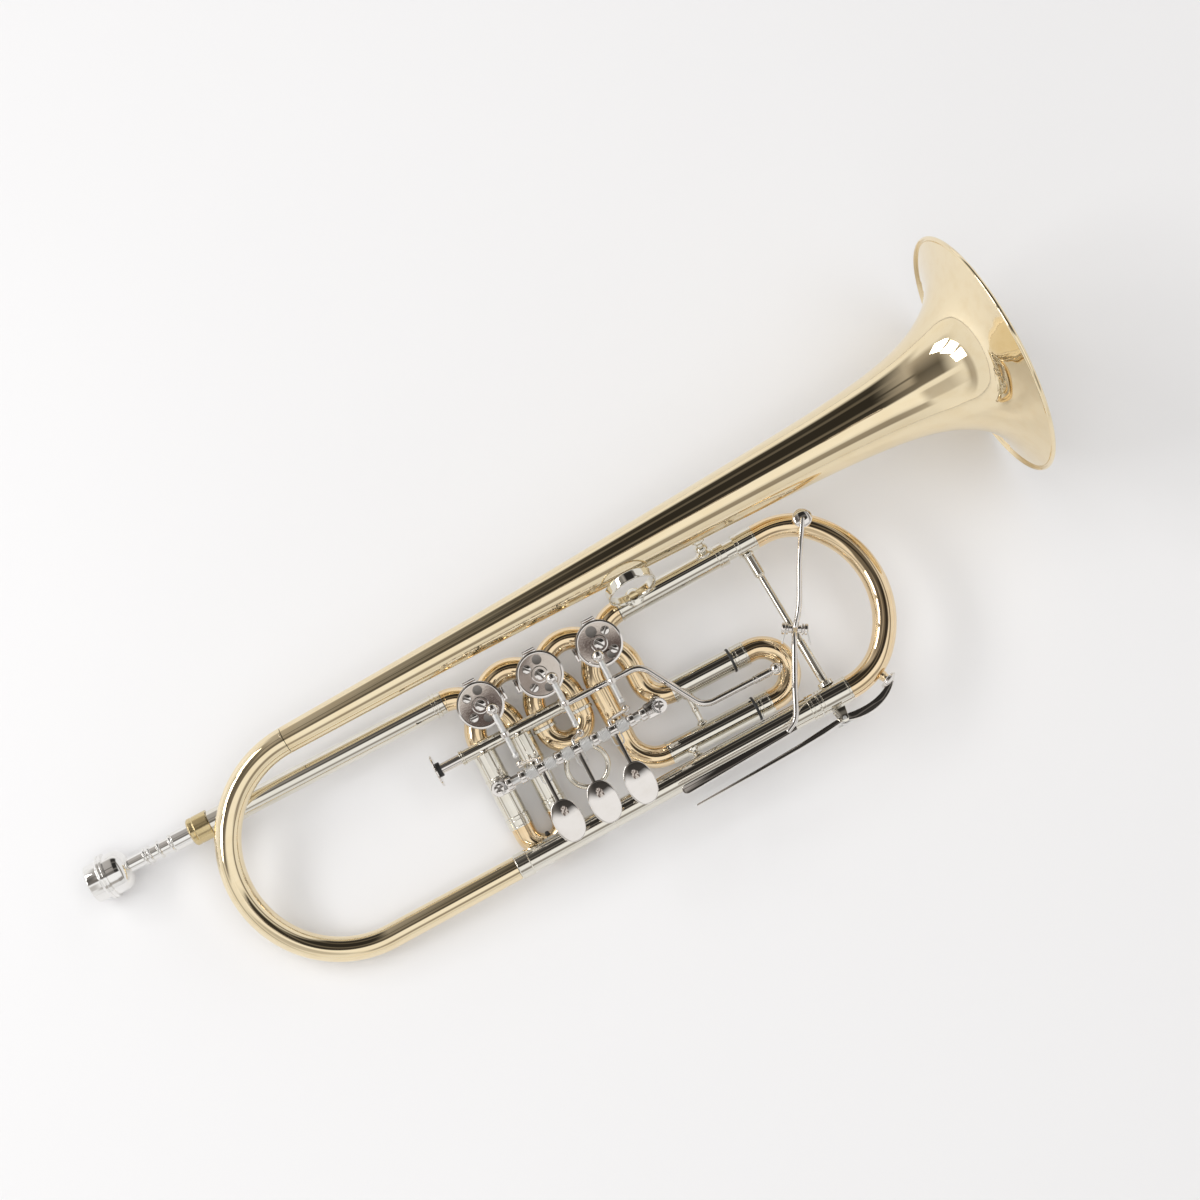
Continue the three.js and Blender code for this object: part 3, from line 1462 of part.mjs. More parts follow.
addPiece(canted, 'finger_ring', shaped([ringBand, ringSaddle], [
  rodBetween(point(0, 0), point(upperTube.end, 0), upperTube.radius + gap, tubeSides),
]), nickelSilver);

// The tuning slide lies in the plane of its two legs

const legSpan = Math.hypot(lowerLine, bellPlane);
const tuningSlide = new THREE.Group();
tuningSlide.rotation.x = -Math.asin(bellPlane / legSpan);
canted.add(tuningSlide);

const tuningRoute = new Route(point(tuning.legStart, 0), X)
  .straight(tuning.bendStart - tuning.legStart)
  .bend(tuning.bendRadius, -Math.PI / 2, 2 * quarterSteps)
  .straight(legSpan - 2 * tuning.bendRadius)
  .bend(tuning.bendRadius, -Math.PI / 2, 2 * quarterSteps);
const lowerBend = tuningRoute.last.run;
tuningRoute.straight(tuning.bendStart - tuning.legStart);
const lowerRun = (x) => lowerBend + tuning.bendStart - x;
const upperRun = (x) => x - tuning.legStart;
const waterWay = point(Math.cos(waterKey.cupTurn), Math.sin(waterKey.cupTurn));
const lowerBendCentre = point(tuning.bendStart, tuning.bendRadius - legSpan);
const waterSeat = tuning.bendRadius + tuning.bowRadius + waterKey.nippleHeight;
const ventPlace = point(ventKey.cupX, -ventKey.cupDrop);
addPiece(tuningSlide, 'tuning_slide', shaped([
  bent(tuningRoute, [
    [0, 0],
    [0, upperLegRadius],
    [upperRun(tuning.upperFerruleStart), upperLegRadius],
    [upperRun(tuning.upperFerruleStart), tuning.upperFerruleRadius],
    [upperRun(tuning.upperFerruleEnd), tuning.upperFerruleRadius],
    [upperRun(tuning.upperFerruleEnd), tuning.bowRadius],
    [lowerRun(tuning.lowerFerruleEnd), tuning.bowRadius],
    [lowerRun(tuning.lowerFerruleEnd), tuning.lowerFerruleRadius],
    [lowerRun(tuning.lowerFerruleStart), tuning.lowerFerruleRadius],
    [lowerRun(tuning.lowerFerruleStart), slideLegRadius],
    [lowerRun(tuning.legStart), slideLegRadius],
    [lowerRun(tuning.legStart), 0],
  ], tubeSides),
  rodBetween(ventPlace, ventPlace.clone().setZ(ventKey.nippleTop), ventKey.nippleRadius, rodSides),
  rodBetween(
    lowerBendCentre.clone().addScaledVector(waterWay, tuning.bendRadius),
    lowerBendCentre.clone().addScaledVector(waterWay, waterSeat),
    waterKey.nippleRadius,
    rodSides,
  ),
]), roseBrass);

const braceFoot = point(tuningBrace.place + tuningBrace.slant, -legSpan);
const braceTop = point(tuningBrace.place, 0);
const braceRun = braceTop.distanceTo(braceFoot);
const lowerSeat = braceRun - tuning.lowerFerruleRadius;
const braceGeometry = (extra) => turnedAlong([
  [0, 0],
  [tuningBrace.upperRadius + extra, 0],
  [tuningBrace.upperRadius + extra, tuningBrace.upperEnd],
  [tuningBrace.middleRadius + extra, tuningBrace.upperEnd],
  [tuningBrace.middleRadius + extra, tuningBrace.lowerStart],
  [tuningBrace.lowerRadius + extra, tuningBrace.lowerStart],
  [tuningBrace.lowerRadius + extra, lowerSeat - tuningBrace.footHeight],
  [tuningBrace.footRadius + extra, lowerSeat - tuningBrace.footHeight],
  [tuningBrace.footRadius + extra, braceRun],
  [0, braceRun],
], rodSides, braceTop, braceFoot.clone().sub(braceTop));
const ferruleCutters = [
  rodBetween(
    point(tuning.legStart, 0),
    point(tuning.bendStart, 0),
    tuning.upperFerruleRadius + gap,
    tubeSides,
  ),
  rodBetween(
    point(tuning.legStart, -legSpan),
    point(tuning.bendStart, -legSpan),
    tuning.lowerFerruleRadius + gap,
    tubeSides,
  ),
];
addPiece(tuningSlide, 'tuning_slide_brace', shaped([braceGeometry(0)], ferruleCutters), nickelSilver);

// The vent key on the tuning slide's brace

const ventPivot = point(ventKey.pivotX, -ventKey.pivotDrop, ventKey.pivotRise);
const ventAxis = point(Math.cos(ventKey.lean), Math.sin(ventKey.lean));
const postStart = ventKey.hubHalf + gap;
const ventPosts = [1, -1].flatMap((side) => {
  const footPlace = side * (postStart + ventKey.postLength / 2);
  const foot = point(0, 0, -ventKey.pivotRise).addScaledVector(ventAxis, footPlace);
  return [
    rodBetween(
      ventAxis.clone().multiplyScalar(side * postStart),
      ventAxis.clone().multiplyScalar(side * (postStart + ventKey.postLength)),
      ventKey.postRadius,
      rodSides,
    ),
    rodBetween(foot, foot.clone().setZ(0), ventKey.pinRadius + gap, rodSides),
  ];
});
const ventBar = rodBetween(
  point(0, 0, -ventKey.pivotRise).addScaledVector(ventAxis, -postStart - ventKey.postLength),
  point(0, 0, -ventKey.pivotRise).addScaledVector(ventAxis, postStart + ventKey.postLength),
  ventKey.pinRadius + gap,
  rodSides,
);
const ventPin = rodBetween(
  ventAxis.clone().multiplyScalar(-postStart - gap),
  ventAxis.clone().multiplyScalar(postStart + gap),
  ventKey.pinRadius,
  rodSides,
);
const braceCutter = braceGeometry(gap).translate(-ventPivot.x, -ventPivot.y, -ventPivot.z);
const ventBracket = addPiece(
  tuningSlide,
  'vent_key_bracket',
  shaped([ventBar, ...ventPosts, ventPin], [braceCutter]),
  springSteel,
);
ventBracket.position.copy(ventPivot);

function ventKeyGeometry() {
  const from = (x, y, z) => point(x, y, z).sub(ventPivot);
  const cup = ventPlace.clone().setZ(ventKey.nippleTop + gap).sub(ventPivot);
  const hub = turnedAlong([
    [0, -ventKey.hubHalf],
    [ventKey.hubRadius, -ventKey.hubHalf],
    [ventKey.hubRadius, ventKey.hubHalf],
    [0, ventKey.hubHalf],
  ], rodSides + 2, point(0, 0), ventAxis);
  const cupDisc = turned([
    [0, 0],
    [ventKey.cupRadius, 0],
    [ventKey.cupRadius, ventKey.cupHeight * keyCupSideShare],
    [ventKey.cupRadius / 2, ventKey.cupHeight],
    [0, ventKey.cupHeight],
  ], discSides / 2).translate(cup.x, cup.y, cup.z);
  const hubTop = ventKey.hubRadius - ventKey.rodRadius / 2;
  const toCup = curvedRod([
    point(0, 0, hubTop),
    cup.clone().multiplyScalar(ventKey.cupBendShare).setZ(hubTop + ventKey.rodRadius),
    cup.clone().add(point(0, 0, ventKey.cupHeight - ventKey.rodRadius / 2)),
  ], ventKey.rodRadius, quarterSteps);
  const touchY = -ventKey.touchDrop;
  const touchEnd = ventKey.touchEnd + ventKey.touchWidth / 2;
  const { touchRise, touchBendShares: [firstShare, secondShare, lastShare] } = ventKey;
  const toTouch = curvedRod([
    point(0, 0, hubTop),
    from(ventKey.pivotX - tuningBrace.upperRadius / 2, touchY * firstShare, touchRise * ventKey.touchRiseShare),
    from((ventKey.pivotX + ventKey.touchStart) / 2, touchY * secondShare, touchRise),
    from(ventKey.touchStart + ventKey.touchWidth / 2, touchY * lastShare, touchRise),
    from(ventKey.touchStart - ventKey.touchWidth, touchY, touchRise),
  ], ventKey.rodRadius, 2 * quarterSteps);
  const blade = new THREE.Shape()
    .moveTo(ventKey.touchStart, touchY - ventKey.rodRadius)
    .lineTo(ventKey.touchStart, touchY + ventKey.rodRadius)
    .lineTo(touchEnd, touchY + ventKey.touchWidth / 2)
    .absarc(touchEnd, touchY, ventKey.touchWidth / 2, Math.PI / 2, 3 * Math.PI / 2);
  const touch = new THREE.ExtrudeGeometry(blade, {
    depth: ventKey.touchThickness, bevelEnabled: false, steps: 1, curveSegments: quarterSteps,
  }).translate(-ventPivot.x, -ventPivot.y, ventKey.touchRise - ventKey.touchThickness / 2 - ventPivot.z);
  const bore = rodBetween(
    ventAxis.clone().multiplyScalar(-postStart),
    ventAxis.clone().multiplyScalar(postStart),
    ventKey.pinRadius + gap,
    rodSides,
  );
  return shaped([hub, cupDisc, toCup, toTouch, touch], [bore]);
}
addPiece(tuningSlide, 'vent_key', ventKeyGeometry(), polishedNickel).position.copy(ventPivot);

// The water key on the tuning slide's lower ferrule

const waterPivot = point(waterKey.pivotX, -waterKey.pivotDrop);
function waterKeyGeometry() {
  const hub = turned([
    [waterKey.pinRadius + gap, waterKey.hubLow],
    [waterKey.hubRadius, waterKey.hubLow],
    [waterKey.hubRadius, waterKey.hubHigh],
    [waterKey.pinRadius + gap, waterKey.hubHigh],
    [waterKey.pinRadius + gap, waterKey.hubLow],
  ], rodSides + 2);
  const seat = lowerBendCentre.clone().addScaledVector(waterWay, waterSeat + gap).sub(waterPivot);
  const back = seat.clone().addScaledVector(waterWay, waterKey.cupHeight - gap);
  const cup = turnedAlong([
    [0, 0],
    [waterKey.cupRadius, 0],
    [waterKey.cupRadius, waterKey.cupHeight * keyCupSideShare],
    [waterKey.cupRadius / 2, waterKey.cupHeight],
    [0, waterKey.cupHeight],
  ], discSides / 2, seat, waterWay);
  const rim = waterKey.hubRadius - gap;
  const { armBendShares: [nearShare, farShare], armSinkShares: [nearSink, farSink] } = waterKey;
  const arm = curvedRod([
    point(rim, 0, waterKey.armRise),
    back.clone().multiplyScalar(nearShare).add(point(0, -waterKey.hubRadius * nearSink, waterKey.armRise)),
    back.clone().multiplyScalar(farShare).add(point(0, -waterKey.hubRadius * farSink, waterKey.armRise / 2)),
    back,
  ], waterKey.armRadius, quarterSteps + 2);
  const reach = waterKey.bladeEnd - waterKey.pivotX;
  const drop = waterKey.pivotDrop - waterKey.bladeDrop;
  const bendX = reach * waterKey.bladeBendShare;
  const bendY = drop * waterKey.bladeDropShare;
  const bladeProfile = new THREE.Shape()
    .moveTo(-rim, -waterKey.bladeThickness / 2)
    .lineTo(bendX, bendY - waterKey.bladeThickness / 2)
    .lineTo(reach, drop - waterKey.bladeThickness / 2)
    .lineTo(reach, drop + waterKey.bladeThickness / 2)
    .lineTo(bendX, bendY + waterKey.bladeThickness / 2)
    .lineTo(-rim, waterKey.bladeThickness / 2);
  const blade = new THREE.ExtrudeGeometry(bladeProfile, {
    depth: waterKey.bladeWidth, bevelEnabled: false, steps: 1,
  });
  const slimming = box(
    waterKey.bladeWidth * 2,
    waterKey.bladeWidth * 2,
    waterKey.bladeWidth,
    point(-waterKey.bladeWidth - rim, 0, waterKey.armRise - waterKey.armRadius - waterKey.bladeWidth / 2),
  );
  const thinned = shaped([blade.translate(0, 0, waterKey.hubHigh - waterKey.bladeWidth)], [slimming]);
  return shaped([hub, cup, arm, thinned]);
}
addPiece(tuningSlide, 'water_key', waterKeyGeometry(), polishedNickel).position.copy(waterPivot);

function waterSaddleGeometry() {
  const drop = legSpan - waterKey.pivotDrop;
  const low = waterKey.hubLow - gap - waterKey.earThickness;
  const high = waterKey.hubHigh + gap + waterKey.earThickness;
  const reach = waterKey.hubRadius + gap;
  const profile = new THREE.Shape()
    .moveTo(-waterKey.saddleWidth / 2, -drop)
    .lineTo(-reach, 0)
    .absarc(0, 0, reach, Math.PI, 2 * Math.PI)
    .lineTo(waterKey.saddleWidth / 2, -drop);
  const block = new THREE.ExtrudeGeometry(profile, {
    depth: high - low, bevelEnabled: false, steps: 1, curveSegments: quarterSteps,
  }).translate(0, 0, low);
  const slot = box(
    3 * waterKey.saddleWidth,
    -2 * (drop + tuning.lowerFerruleRadius + tuningBrace.footHeight),
    waterKey.hubHigh - waterKey.hubLow + 2 * gap,
    point(0, 0, (waterKey.hubHigh + waterKey.hubLow) / 2),
  );
  const pin = rodBetween(point(0, 0, low), point(0, 0, high), waterKey.pinRadius, rodSides);
  return shaped([shaped([block], [slot]), pin], [
    ferruleCutters[1].clone().translate(-waterPivot.x, -waterPivot.y, 0),
  ]);
}
addPiece(tuningSlide, 'water_key_saddle', waterSaddleGeometry(), nickelSilver).position.copy(waterPivot);

function keySpringPoints() {
  const places = [point(-keySpring.footLength, -keySpring.coilRadius, waterKey.hubLow + keySpring.wireRadius)];
  const steps = keySpring.curls * wireSteps;
  for (let step = 0; step <= steps; step += 1) {
    const angle = -Math.PI / 2 + 2 * Math.PI * step / wireSteps;
    places.push(point(
      keySpring.coilRadius * Math.cos(angle),
      keySpring.coilRadius * Math.sin(angle),
      waterKey.hubLow + keySpring.wireRadius + keySpring.pitch * step / wireSteps,
    ));
  }
  const last = places[places.length - 1];
  places.push(last.clone().add(point(keySpring.footLength, 0)));
  return places;
}
const waterSpring = keySpringPoints();
const waterSpringGap = leastWireGap(waterSpring, keySpring.wireRadius);
console.log('least gap of the water key spring to itself', waterSpringGap.toFixed(2));
addPiece(
  tuningSlide,
  'water_key_spring',
  wireThrough(waterSpring, keySpring.wireRadius, wireSides),
  springSteel,
).position.copy(waterPivot);

// The trumpet lies as it does on a table: on the lowest points that carry its weight, levers up

const firstRestStep = THREE.MathUtils.degToRad(5);
const lastRestStep = THREE.MathUtils.degToRad(0.00001);
const restTolerance = 1e-9;
function restingTurn(group) {
  group.updateMatrixWorld(true);
  const corners = [];
  const middle = point(0, 0);
  let weight = 0;
  group.traverse((piece) => {
    if (!piece.isMesh) return;
    const position = piece.geometry.getAttribute('position');
    for (let index = 0; index < position.count; index += 3) {
      const [a, b, c] = [0, 1, 2].map((corner) => (
        point(0, 0).fromBufferAttribute(position, index + corner).applyMatrix4(piece.matrixWorld)
      ));
      corners.push(a, b, c);
      const share = a.dot(b.clone().cross(c));
      middle.addScaledVector(a.clone().add(b).add(c), share / 4);
      weight += share;
    }
  });
  middle.divideScalar(weight);
  const height = (pitch, roll) => {
    const up = Z.clone().applyEuler(new THREE.Euler(roll, pitch, 0));
    let least = Infinity;
    for (const corner of corners) least = Math.min(least, corner.dot(up));
    return { above: middle.dot(up) - least, up };
  };
  let best = { pitch: 0, roll: 0, ...height(0, 0) };
  for (let step = firstRestStep; step > lastRestStep; step /= 2) {
    let improved = true;
    while (improved) {
      improved = false;
      for (let way = 0; way < 2 * Math.PI; way += Math.PI / 4) {
        const pitch = best.pitch + step * Math.cos(way);
        const roll = best.roll + step * Math.sin(way);
        const tried = height(pitch, roll);
        if (tried.above < best.above - restTolerance) {
          best = { pitch, roll, ...tried };
          improved = true;
        }
      }
    }
  }
  return new THREE.Quaternion().setFromUnitVectors(best.up, Z);
}

instrument.quaternion.copy(restingTurn(instrument));
const trumpet = new THREE.Group();
trumpet.add(instrument);
trumpet.updateMatrixWorld(true);
const bounds = new THREE.Box3().setFromObject(trumpet, true);
const middle = bounds.getCenter(point(0, 0));
instrument.position.set(-middle.x, -middle.y, -bounds.min.z);

export default trumpet;
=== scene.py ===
import json
import logging
import math
from dataclasses import dataclass, field
from enum import Enum
from typing import Callable, Iterable, Mapping, Sequence

import bmesh
import bpy
from mathutils import Matrix, Quaternion, Vector

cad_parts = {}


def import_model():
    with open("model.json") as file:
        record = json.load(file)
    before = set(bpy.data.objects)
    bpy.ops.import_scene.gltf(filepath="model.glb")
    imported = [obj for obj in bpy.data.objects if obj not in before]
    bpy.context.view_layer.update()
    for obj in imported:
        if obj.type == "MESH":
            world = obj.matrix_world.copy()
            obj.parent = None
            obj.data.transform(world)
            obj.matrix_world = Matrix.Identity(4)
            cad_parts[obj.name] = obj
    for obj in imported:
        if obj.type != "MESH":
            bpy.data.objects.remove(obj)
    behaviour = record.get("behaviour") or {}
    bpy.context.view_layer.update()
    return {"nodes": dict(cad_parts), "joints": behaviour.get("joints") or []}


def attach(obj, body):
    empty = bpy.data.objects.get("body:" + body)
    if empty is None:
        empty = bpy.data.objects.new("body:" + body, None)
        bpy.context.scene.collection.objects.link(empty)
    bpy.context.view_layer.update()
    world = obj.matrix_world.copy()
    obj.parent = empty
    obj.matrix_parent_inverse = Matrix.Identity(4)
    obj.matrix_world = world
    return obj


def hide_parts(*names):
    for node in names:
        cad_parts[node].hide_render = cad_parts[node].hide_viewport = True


LOG = logging.getLogger("trumpet")
MM = 0.001
# Places closer than this many millimetres count as one.
HAIR = 1e-4
Profile = list[tuple[float, float]]
Spot = tuple[float, float, float]
Solids = Mapping[str, bpy.types.Object]
Bands = tuple[tuple[float, float], ...]

# Sizes in millimetres, in the frame of the valves: X along the tubes to the bell, Z out of the plane
# of the tubes towards the levers, and the middle rotor's axis as the origin.
GAP = 0.3
VALVE_PITCH = 33.6
VALVES = (-VALVE_PITCH, 0.0, VALVE_PITCH)
# Each stop disc's ball: its angle in degrees and its distance from the rotor's axis.
CRANKS = ((-47, 6.44), (-47, 6.44), (-123, 6.59))
BALL_HEIGHT = 21
PORT = 10.2
BELL_PLANE = 13.5
BOW_RADIUS = 56.1
BOW_PLACE = -178.6
LOWER_LINE = -89.6
LOWER_START = -106.8
BELL_SPLAY = math.radians(0.45)
CANT = math.radians(1)
LEG_SPAN = math.hypot(LOWER_LINE, BELL_PLANE)
KNUCKLE = 5.8
SLIDE_TUBE = 6.1
SLIDE_BORE = 5.6
SLIDE_BOW = 5.9
SLIDE_LEG = 5.3
FERRULE = 6.45
# The lines of the third slide's two legs.
UPPER_LEG = -38.8
LOWER_LEG = -66.4
ELBOW_REACH = VALVE_PITCH / 2
OUTLET = VALVE_PITCH + ELBOW_REACH
LEAD_LENGTH = 144.6
LEAD_END = -OUTLET
LEAD_START = LEAD_END - LEAD_LENGTH
KNEE_RADIUS = (ELBOW_REACH - PORT) / (math.sqrt(2) - 1)
KNEE_START = PORT - KNEE_RADIUS * (1 - math.sqrt(0.5))
RIM_RADIUS = 66.0
BELL_LENGTH = 400.7
# The bell's outer side: share of its length back from the rim, share of the rim's radius.
BELL_SHARES = (
    (0.0, 0.978), (0.0025, 0.927), (0.0085, 0.812), (0.0185, 0.676), (0.032, 0.572), (0.05, 0.487),
    (0.077, 0.402), (0.112, 0.336), (0.162, 0.286), (0.242, 0.245), (0.35, 0.2165), (0.47, 0.189),
    (0.63, 0.154), (0.8, 0.1285), (1.0, 0.1083),
)
BELL_SAMPLES = 8
# Angles in degrees: a corner below the first isn't rounded, an edge above the second is worn, and one above
# the third is shaded as an edge.
SHALLOW, WORN, SHARP = 20, 24, 38


class Tone(Enum):
    """How a metal's surface was left."""

    LACQUER = "lacquer"
    PLATED = "plated"
    SATIN = "satin"
    SOFT = "soft"


@dataclass(frozen=True)
class Finish:
    """One material: its colours, how rough it is, and how its marks look.

    Args:
        name: the material's name.
        colour: its main colour, linear.
        stain: the colour where it is handled, soldered or worn, linear.
        rough: the least and most roughness.
        tone: how the surface was left.
        scale: how many marks there are in a metre.
        bump: the depth of its unevenness.
        metallic: 1 for metal, 0 for cork or rubber.
        slot: the record's material slot, or nothing where it has none; not used.
    """

    name: str
    colour: tuple[float, float, float]
    stain: tuple[float, float, float]
    rough: tuple[float, float]
    tone: Tone = Tone.LACQUER
    scale: float = 60.0
    bump: float = 0.003
    metallic: float = 1.0
    slot: str = ""

    def material(self) -> bpy.types.Material:
        """Returns the material, built on its first use."""
        known = bpy.data.materials.get(self.label)
        return known if known else self._build()

    @property
    def label(self) -> str:
        """The material's name in the scene, apart from the frame's own materials."""
        return f"fine_{self.name}"

    def _build(self) -> bpy.types.Material:
        """Builds the material.

        Returns:
            The material, with its marks, its colours and its roughness linked.
        """
        material = bpy.data.materials.new(self.label)
        material.use_nodes = True
        tree = material.node_tree
        marks = node(tree, "Group", {"Scale": self.scale, "Depth": self.bump}, node_tree=marks_group(self.tone))
        colour = node(tree, "Mix", {
            "Factor": marks.outputs["Stain"], "A": (*self.colour, 1), "B": (*self.stain, 1),
        }, data_type="RGBA")
        least, most = self.rough
        rough = node(tree, "MapRange", {"Value": marks.outputs["Haze"], "To Min": least, "To Max": most})
        shader = tree.nodes["Principled BSDF"]
        feed(tree, shader, {
            "Base Color": colour.outputs["Result"], "Roughness": rough.outputs["Result"],
            "Normal": marks.outputs["Normal"], "Metallic": self.metallic,
        })
        if self.tone is Tone.LACQUER:
            feed(tree, shader, {"Coat Weight": 0.2, "Coat Roughness": 0.02})
        return material


def feed(tree: bpy.types.NodeTree, target: bpy.types.Node, inputs: Mapping[str | int, object]) -> None:
    """Sets or links the inputs of a node.

    Args:
        tree: the tree that the node is in.
        target: the node.
        inputs: for each input, by its name or number, a value to set or a socket to link.
    """
    for name, value in inputs.items():
        if isinstance(value, bpy.types.NodeSocket):
            tree.links.new(value, target.inputs[name])
        else:
            target.inputs[name].default_value = value


def node(
    tree: bpy.types.NodeTree, kind: str, inputs: Mapping[str | int, object] | None = None, **options: object,
) -> bpy.types.Node:
    """Adds a shader node.

    Args:
        tree: the tree that it goes in.
        kind: the node's kind, without the words that all kinds start with.
        inputs: what feeds its inputs.
        options: the node's own settings.

    Returns:
        The node.
    """
    made = tree.nodes.new(f"ShaderNode{kind}")
    for name, value in options.items():
        setattr(made, name, value)
    feed(tree, made, inputs or {})
    return made


def marks_group(tone: Tone) -> bpy.types.NodeTree:
    """Returns the shared node group that draws one kind of surface marks.

    Args:
        tone: how the surface was left.

    Returns:
        A group with a Stain mask, a Haze mask for the roughness, and a Normal.
    """
    name = f"marks_{tone.value}"
    known = bpy.data.node_groups.get(name)
    if known:
        return known
    stretch = {Tone.LACQUER: 3.0, Tone.PLATED: 1.5, Tone.SATIN: 10.0, Tone.SOFT: 1.0}[tone]
    group = bpy.data.node_groups.new(name, "ShaderNodeTree")
    for label, first in (("Scale", 60.0), ("Depth", 0.02)):
        group.interface.new_socket(label, in_out="INPUT", socket_type="NodeSocketFloat").default_value = first
    for label, kind in (("Stain", "Float"), ("Haze", "Float"), ("Normal", "Vector")):
        group.interface.new_socket(label, in_out="OUTPUT", socket_type=f"NodeSocket{kind}")
    entry, leave = group.nodes.new("NodeGroupInput"), group.nodes.new("NodeGroupOutput")
    places = node(group, "Mapping", {
        "Vector": node(group, "TexCoord").outputs["Object"], "Scale": (1.0, stretch, stretch),
    }).outputs["Vector"]
    noises = []
    for times, detail in ((1.0, 3.0), (9.0, 4.0), (40.0, 2.0)):
        scale = node(group, "Math", {0: entry.outputs["Scale"], 1: times}, operation="MULTIPLY").outputs[0]
        noise = node(group, "TexNoise", {"Vector": places, "Scale": scale, "Detail": detail})
        noises.append(noise.outputs["Fac"])
    broad, fine, grain = noises
    edge = node(group, "Attribute", attribute_name="edge")
    stain = node(group, "MapRange", {"Value": broad, "From Min": 0.45, "From Max": 0.8, "To Max": 0.55})
    worn = node(group, "Math", {
        0: edge.outputs["Fac"], 1: 0.45, 2: stain.outputs["Result"],
    }, operation="MULTIPLY_ADD", use_clamp=True)
    haze = node(group, "MapRange", {"Value": fine, "From Min": 0.35, "From Max": 0.75})
    bump = node(group, "Bump", {
        "Height": grain if tone in (Tone.SATIN, Tone.SOFT) else fine, "Strength": entry.outputs["Depth"],
        "Distance": 0.0002,
    })
    feed(group, leave, {
        "Stain": worn.outputs[0], "Haze": haze.outputs["Result"], "Normal": bump.outputs["Normal"],
    })
    return group


GOLD = Finish("gold_brass", (0.90, 0.77, 0.53), (0.84, 0.68, 0.42), (0.015, 0.05), slot="gold_brass")
ROSE = Finish("rose_brass", (0.90, 0.72, 0.47), (0.82, 0.60, 0.34), (0.015, 0.06), slot="rose_brass")
NICKEL_SILVER = Finish("nickel_silver", (0.80, 0.77, 0.69), (0.74, 0.69, 0.58), (0.02, 0.07), slot="nickel_silver")
NICKEL = Finish("polished_nickel", (0.80, 0.77, 0.74), (0.72, 0.68, 0.63), (0.015, 0.05), Tone.PLATED, 90.0, 0.004,
                slot="polished_nickel")
SATIN = Finish("satin_steel", (0.88, 0.88, 0.87), (0.74, 0.73, 0.72), (0.38, 0.50), Tone.SATIN, 120.0, 0.05,
               slot="spring_steel")
# Painted shade: a dark grey satin for the floors of the discs' wells and of the screws' slots, standing in for the
# shade that falls in these hollows.
PAINTED_SHADE = Finish("painted_recess_shade", (0.30, 0.28, 0.26), (0.22, 0.20, 0.18), (0.30, 0.45), Tone.SATIN, 150.0, 0.05)
SILVER = Finish("silver_plate", (0.88, 0.87, 0.85), (0.82, 0.80, 0.76), (0.02, 0.07), Tone.PLATED, 90.0, 0.004,
                slot="silver_plate")
AGED = Finish("aged_brass", (0.68, 0.55, 0.31), (0.56, 0.43, 0.21), (0.14, 0.24), Tone.PLATED, 140.0, 0.02,
              slot="aged_brass")
RUBBER = Finish("black_rubber", (0.02, 0.02, 0.02), (0.05, 0.05, 0.05), (0.45, 0.65), Tone.SOFT, 300.0, 0.2, 0.0)
CORK = Finish("dark_cork", (0.10, 0.065, 0.04), (0.22, 0.14, 0.08), (0.7, 0.9), Tone.SOFT, 500.0, 0.6, 0.0)


class Centre:
    """A centre line that a turned piece is bent along."""

    run: float = 0.0

    def frame(self, run: float) -> tuple[Vector, Vector, Vector, Vector]:
        """Returns the place, direction, side and upright of the line at a length along it."""
        raise NotImplementedError

    def steps(self, start: float, end: float) -> list[float]:
        """Returns the lengths between two others where the skin needs a ring."""
        raise NotImplementedError


@dataclass(frozen=True)
class Span:
    """A straight run or a round bend of a route.

    Args:
        start: how far along the route it starts.
        length: its length.
        at: where it starts.
        way: its direction there.
        curve: one over its radius, above zero to the left, or 0 where it is straight.
    """

    start: float
    length: float
    at: Vector
    way: Vector
    curve: float = 0.0


class Route(Centre):
    """A centre line in one plane: straight runs and round bends, one after the other."""

    bend_step = 1.6

    def __init__(self, at: Sequence[float], way: Sequence[float], normal: Sequence[float] = (0, 0, 1)) -> None:
        """Starts a route.

        Args:
            at: where it starts.
            way: its direction there.
            normal: what its plane faces.
        """
        self.normal = Vector(normal).normalized()
        self.at = Vector(at).to_3d()
        self.way = Vector(way).to_3d().normalized()
        self.run = 0.0
        self.spans: list[Span] = []

    def _grow(self, span: Span) -> "Route":
        """Adds a span.

        Args:
            span: the span, which starts where the route ends.

        Returns:
            The route.
        """
        self.spans.append(span)
        self.run = span.start + span.length
        self.at, self.way, _, _ = self.frame(self.run)
        return self

    def straight(self, length: float) -> "Route":
        """Adds a straight run."""
        return self._grow(Span(self.run, length, self.at.copy(), self.way.copy()))

    def bend(self, radius: float, angle: float) -> "Route":
        """Adds a bend, to the left of the normal where the angle is above zero."""
        curve = math.copysign(1 / radius, angle)
        return self._grow(Span(self.run, radius * abs(angle), self.at.copy(), self.way.copy(), curve))

    def frame(self, run: float) -> tuple[Vector, Vector, Vector, Vector]:
        """Returns the line's frame at a length along it.

        Args:
            run: the length.

        Returns:
            The place, the direction, the side and the upright.
        """
        span = next((one for one in reversed(self.spans) if one.start <= run), self.spans[0])
        along = run - span.start
        if span.curve:
            turn = Quaternion(self.normal, along * span.curve)
            inward = self.normal.cross(span.way) / span.curve
            at = span.at + inward - turn @ inward
            way = turn @ span.way
        else:
            at, way = span.at + span.way * along, span.way.copy()
        return at, way, way.cross(self.normal), self.normal

    def steps(self, start: float, end: float) -> list[float]:
        """Returns the lengths between two others where the skin needs a ring.

        Args:
            start: the first of the two.
            end: the second.

        Returns:
            The lengths, in order.
        """
        found: list[float] = []
        for span in self.spans:
            low, high = max(start, span.start), min(end, span.start + span.length)
            if high <= low:
                continue
            count = max(1, round((high - low) / self.bend_step)) if span.curve else 1
            found += [low + (high - low) * step / count for step in range(count + 1)]
        return [run for run in sorted(set(found)) if start + HAIR < run < end - HAIR]


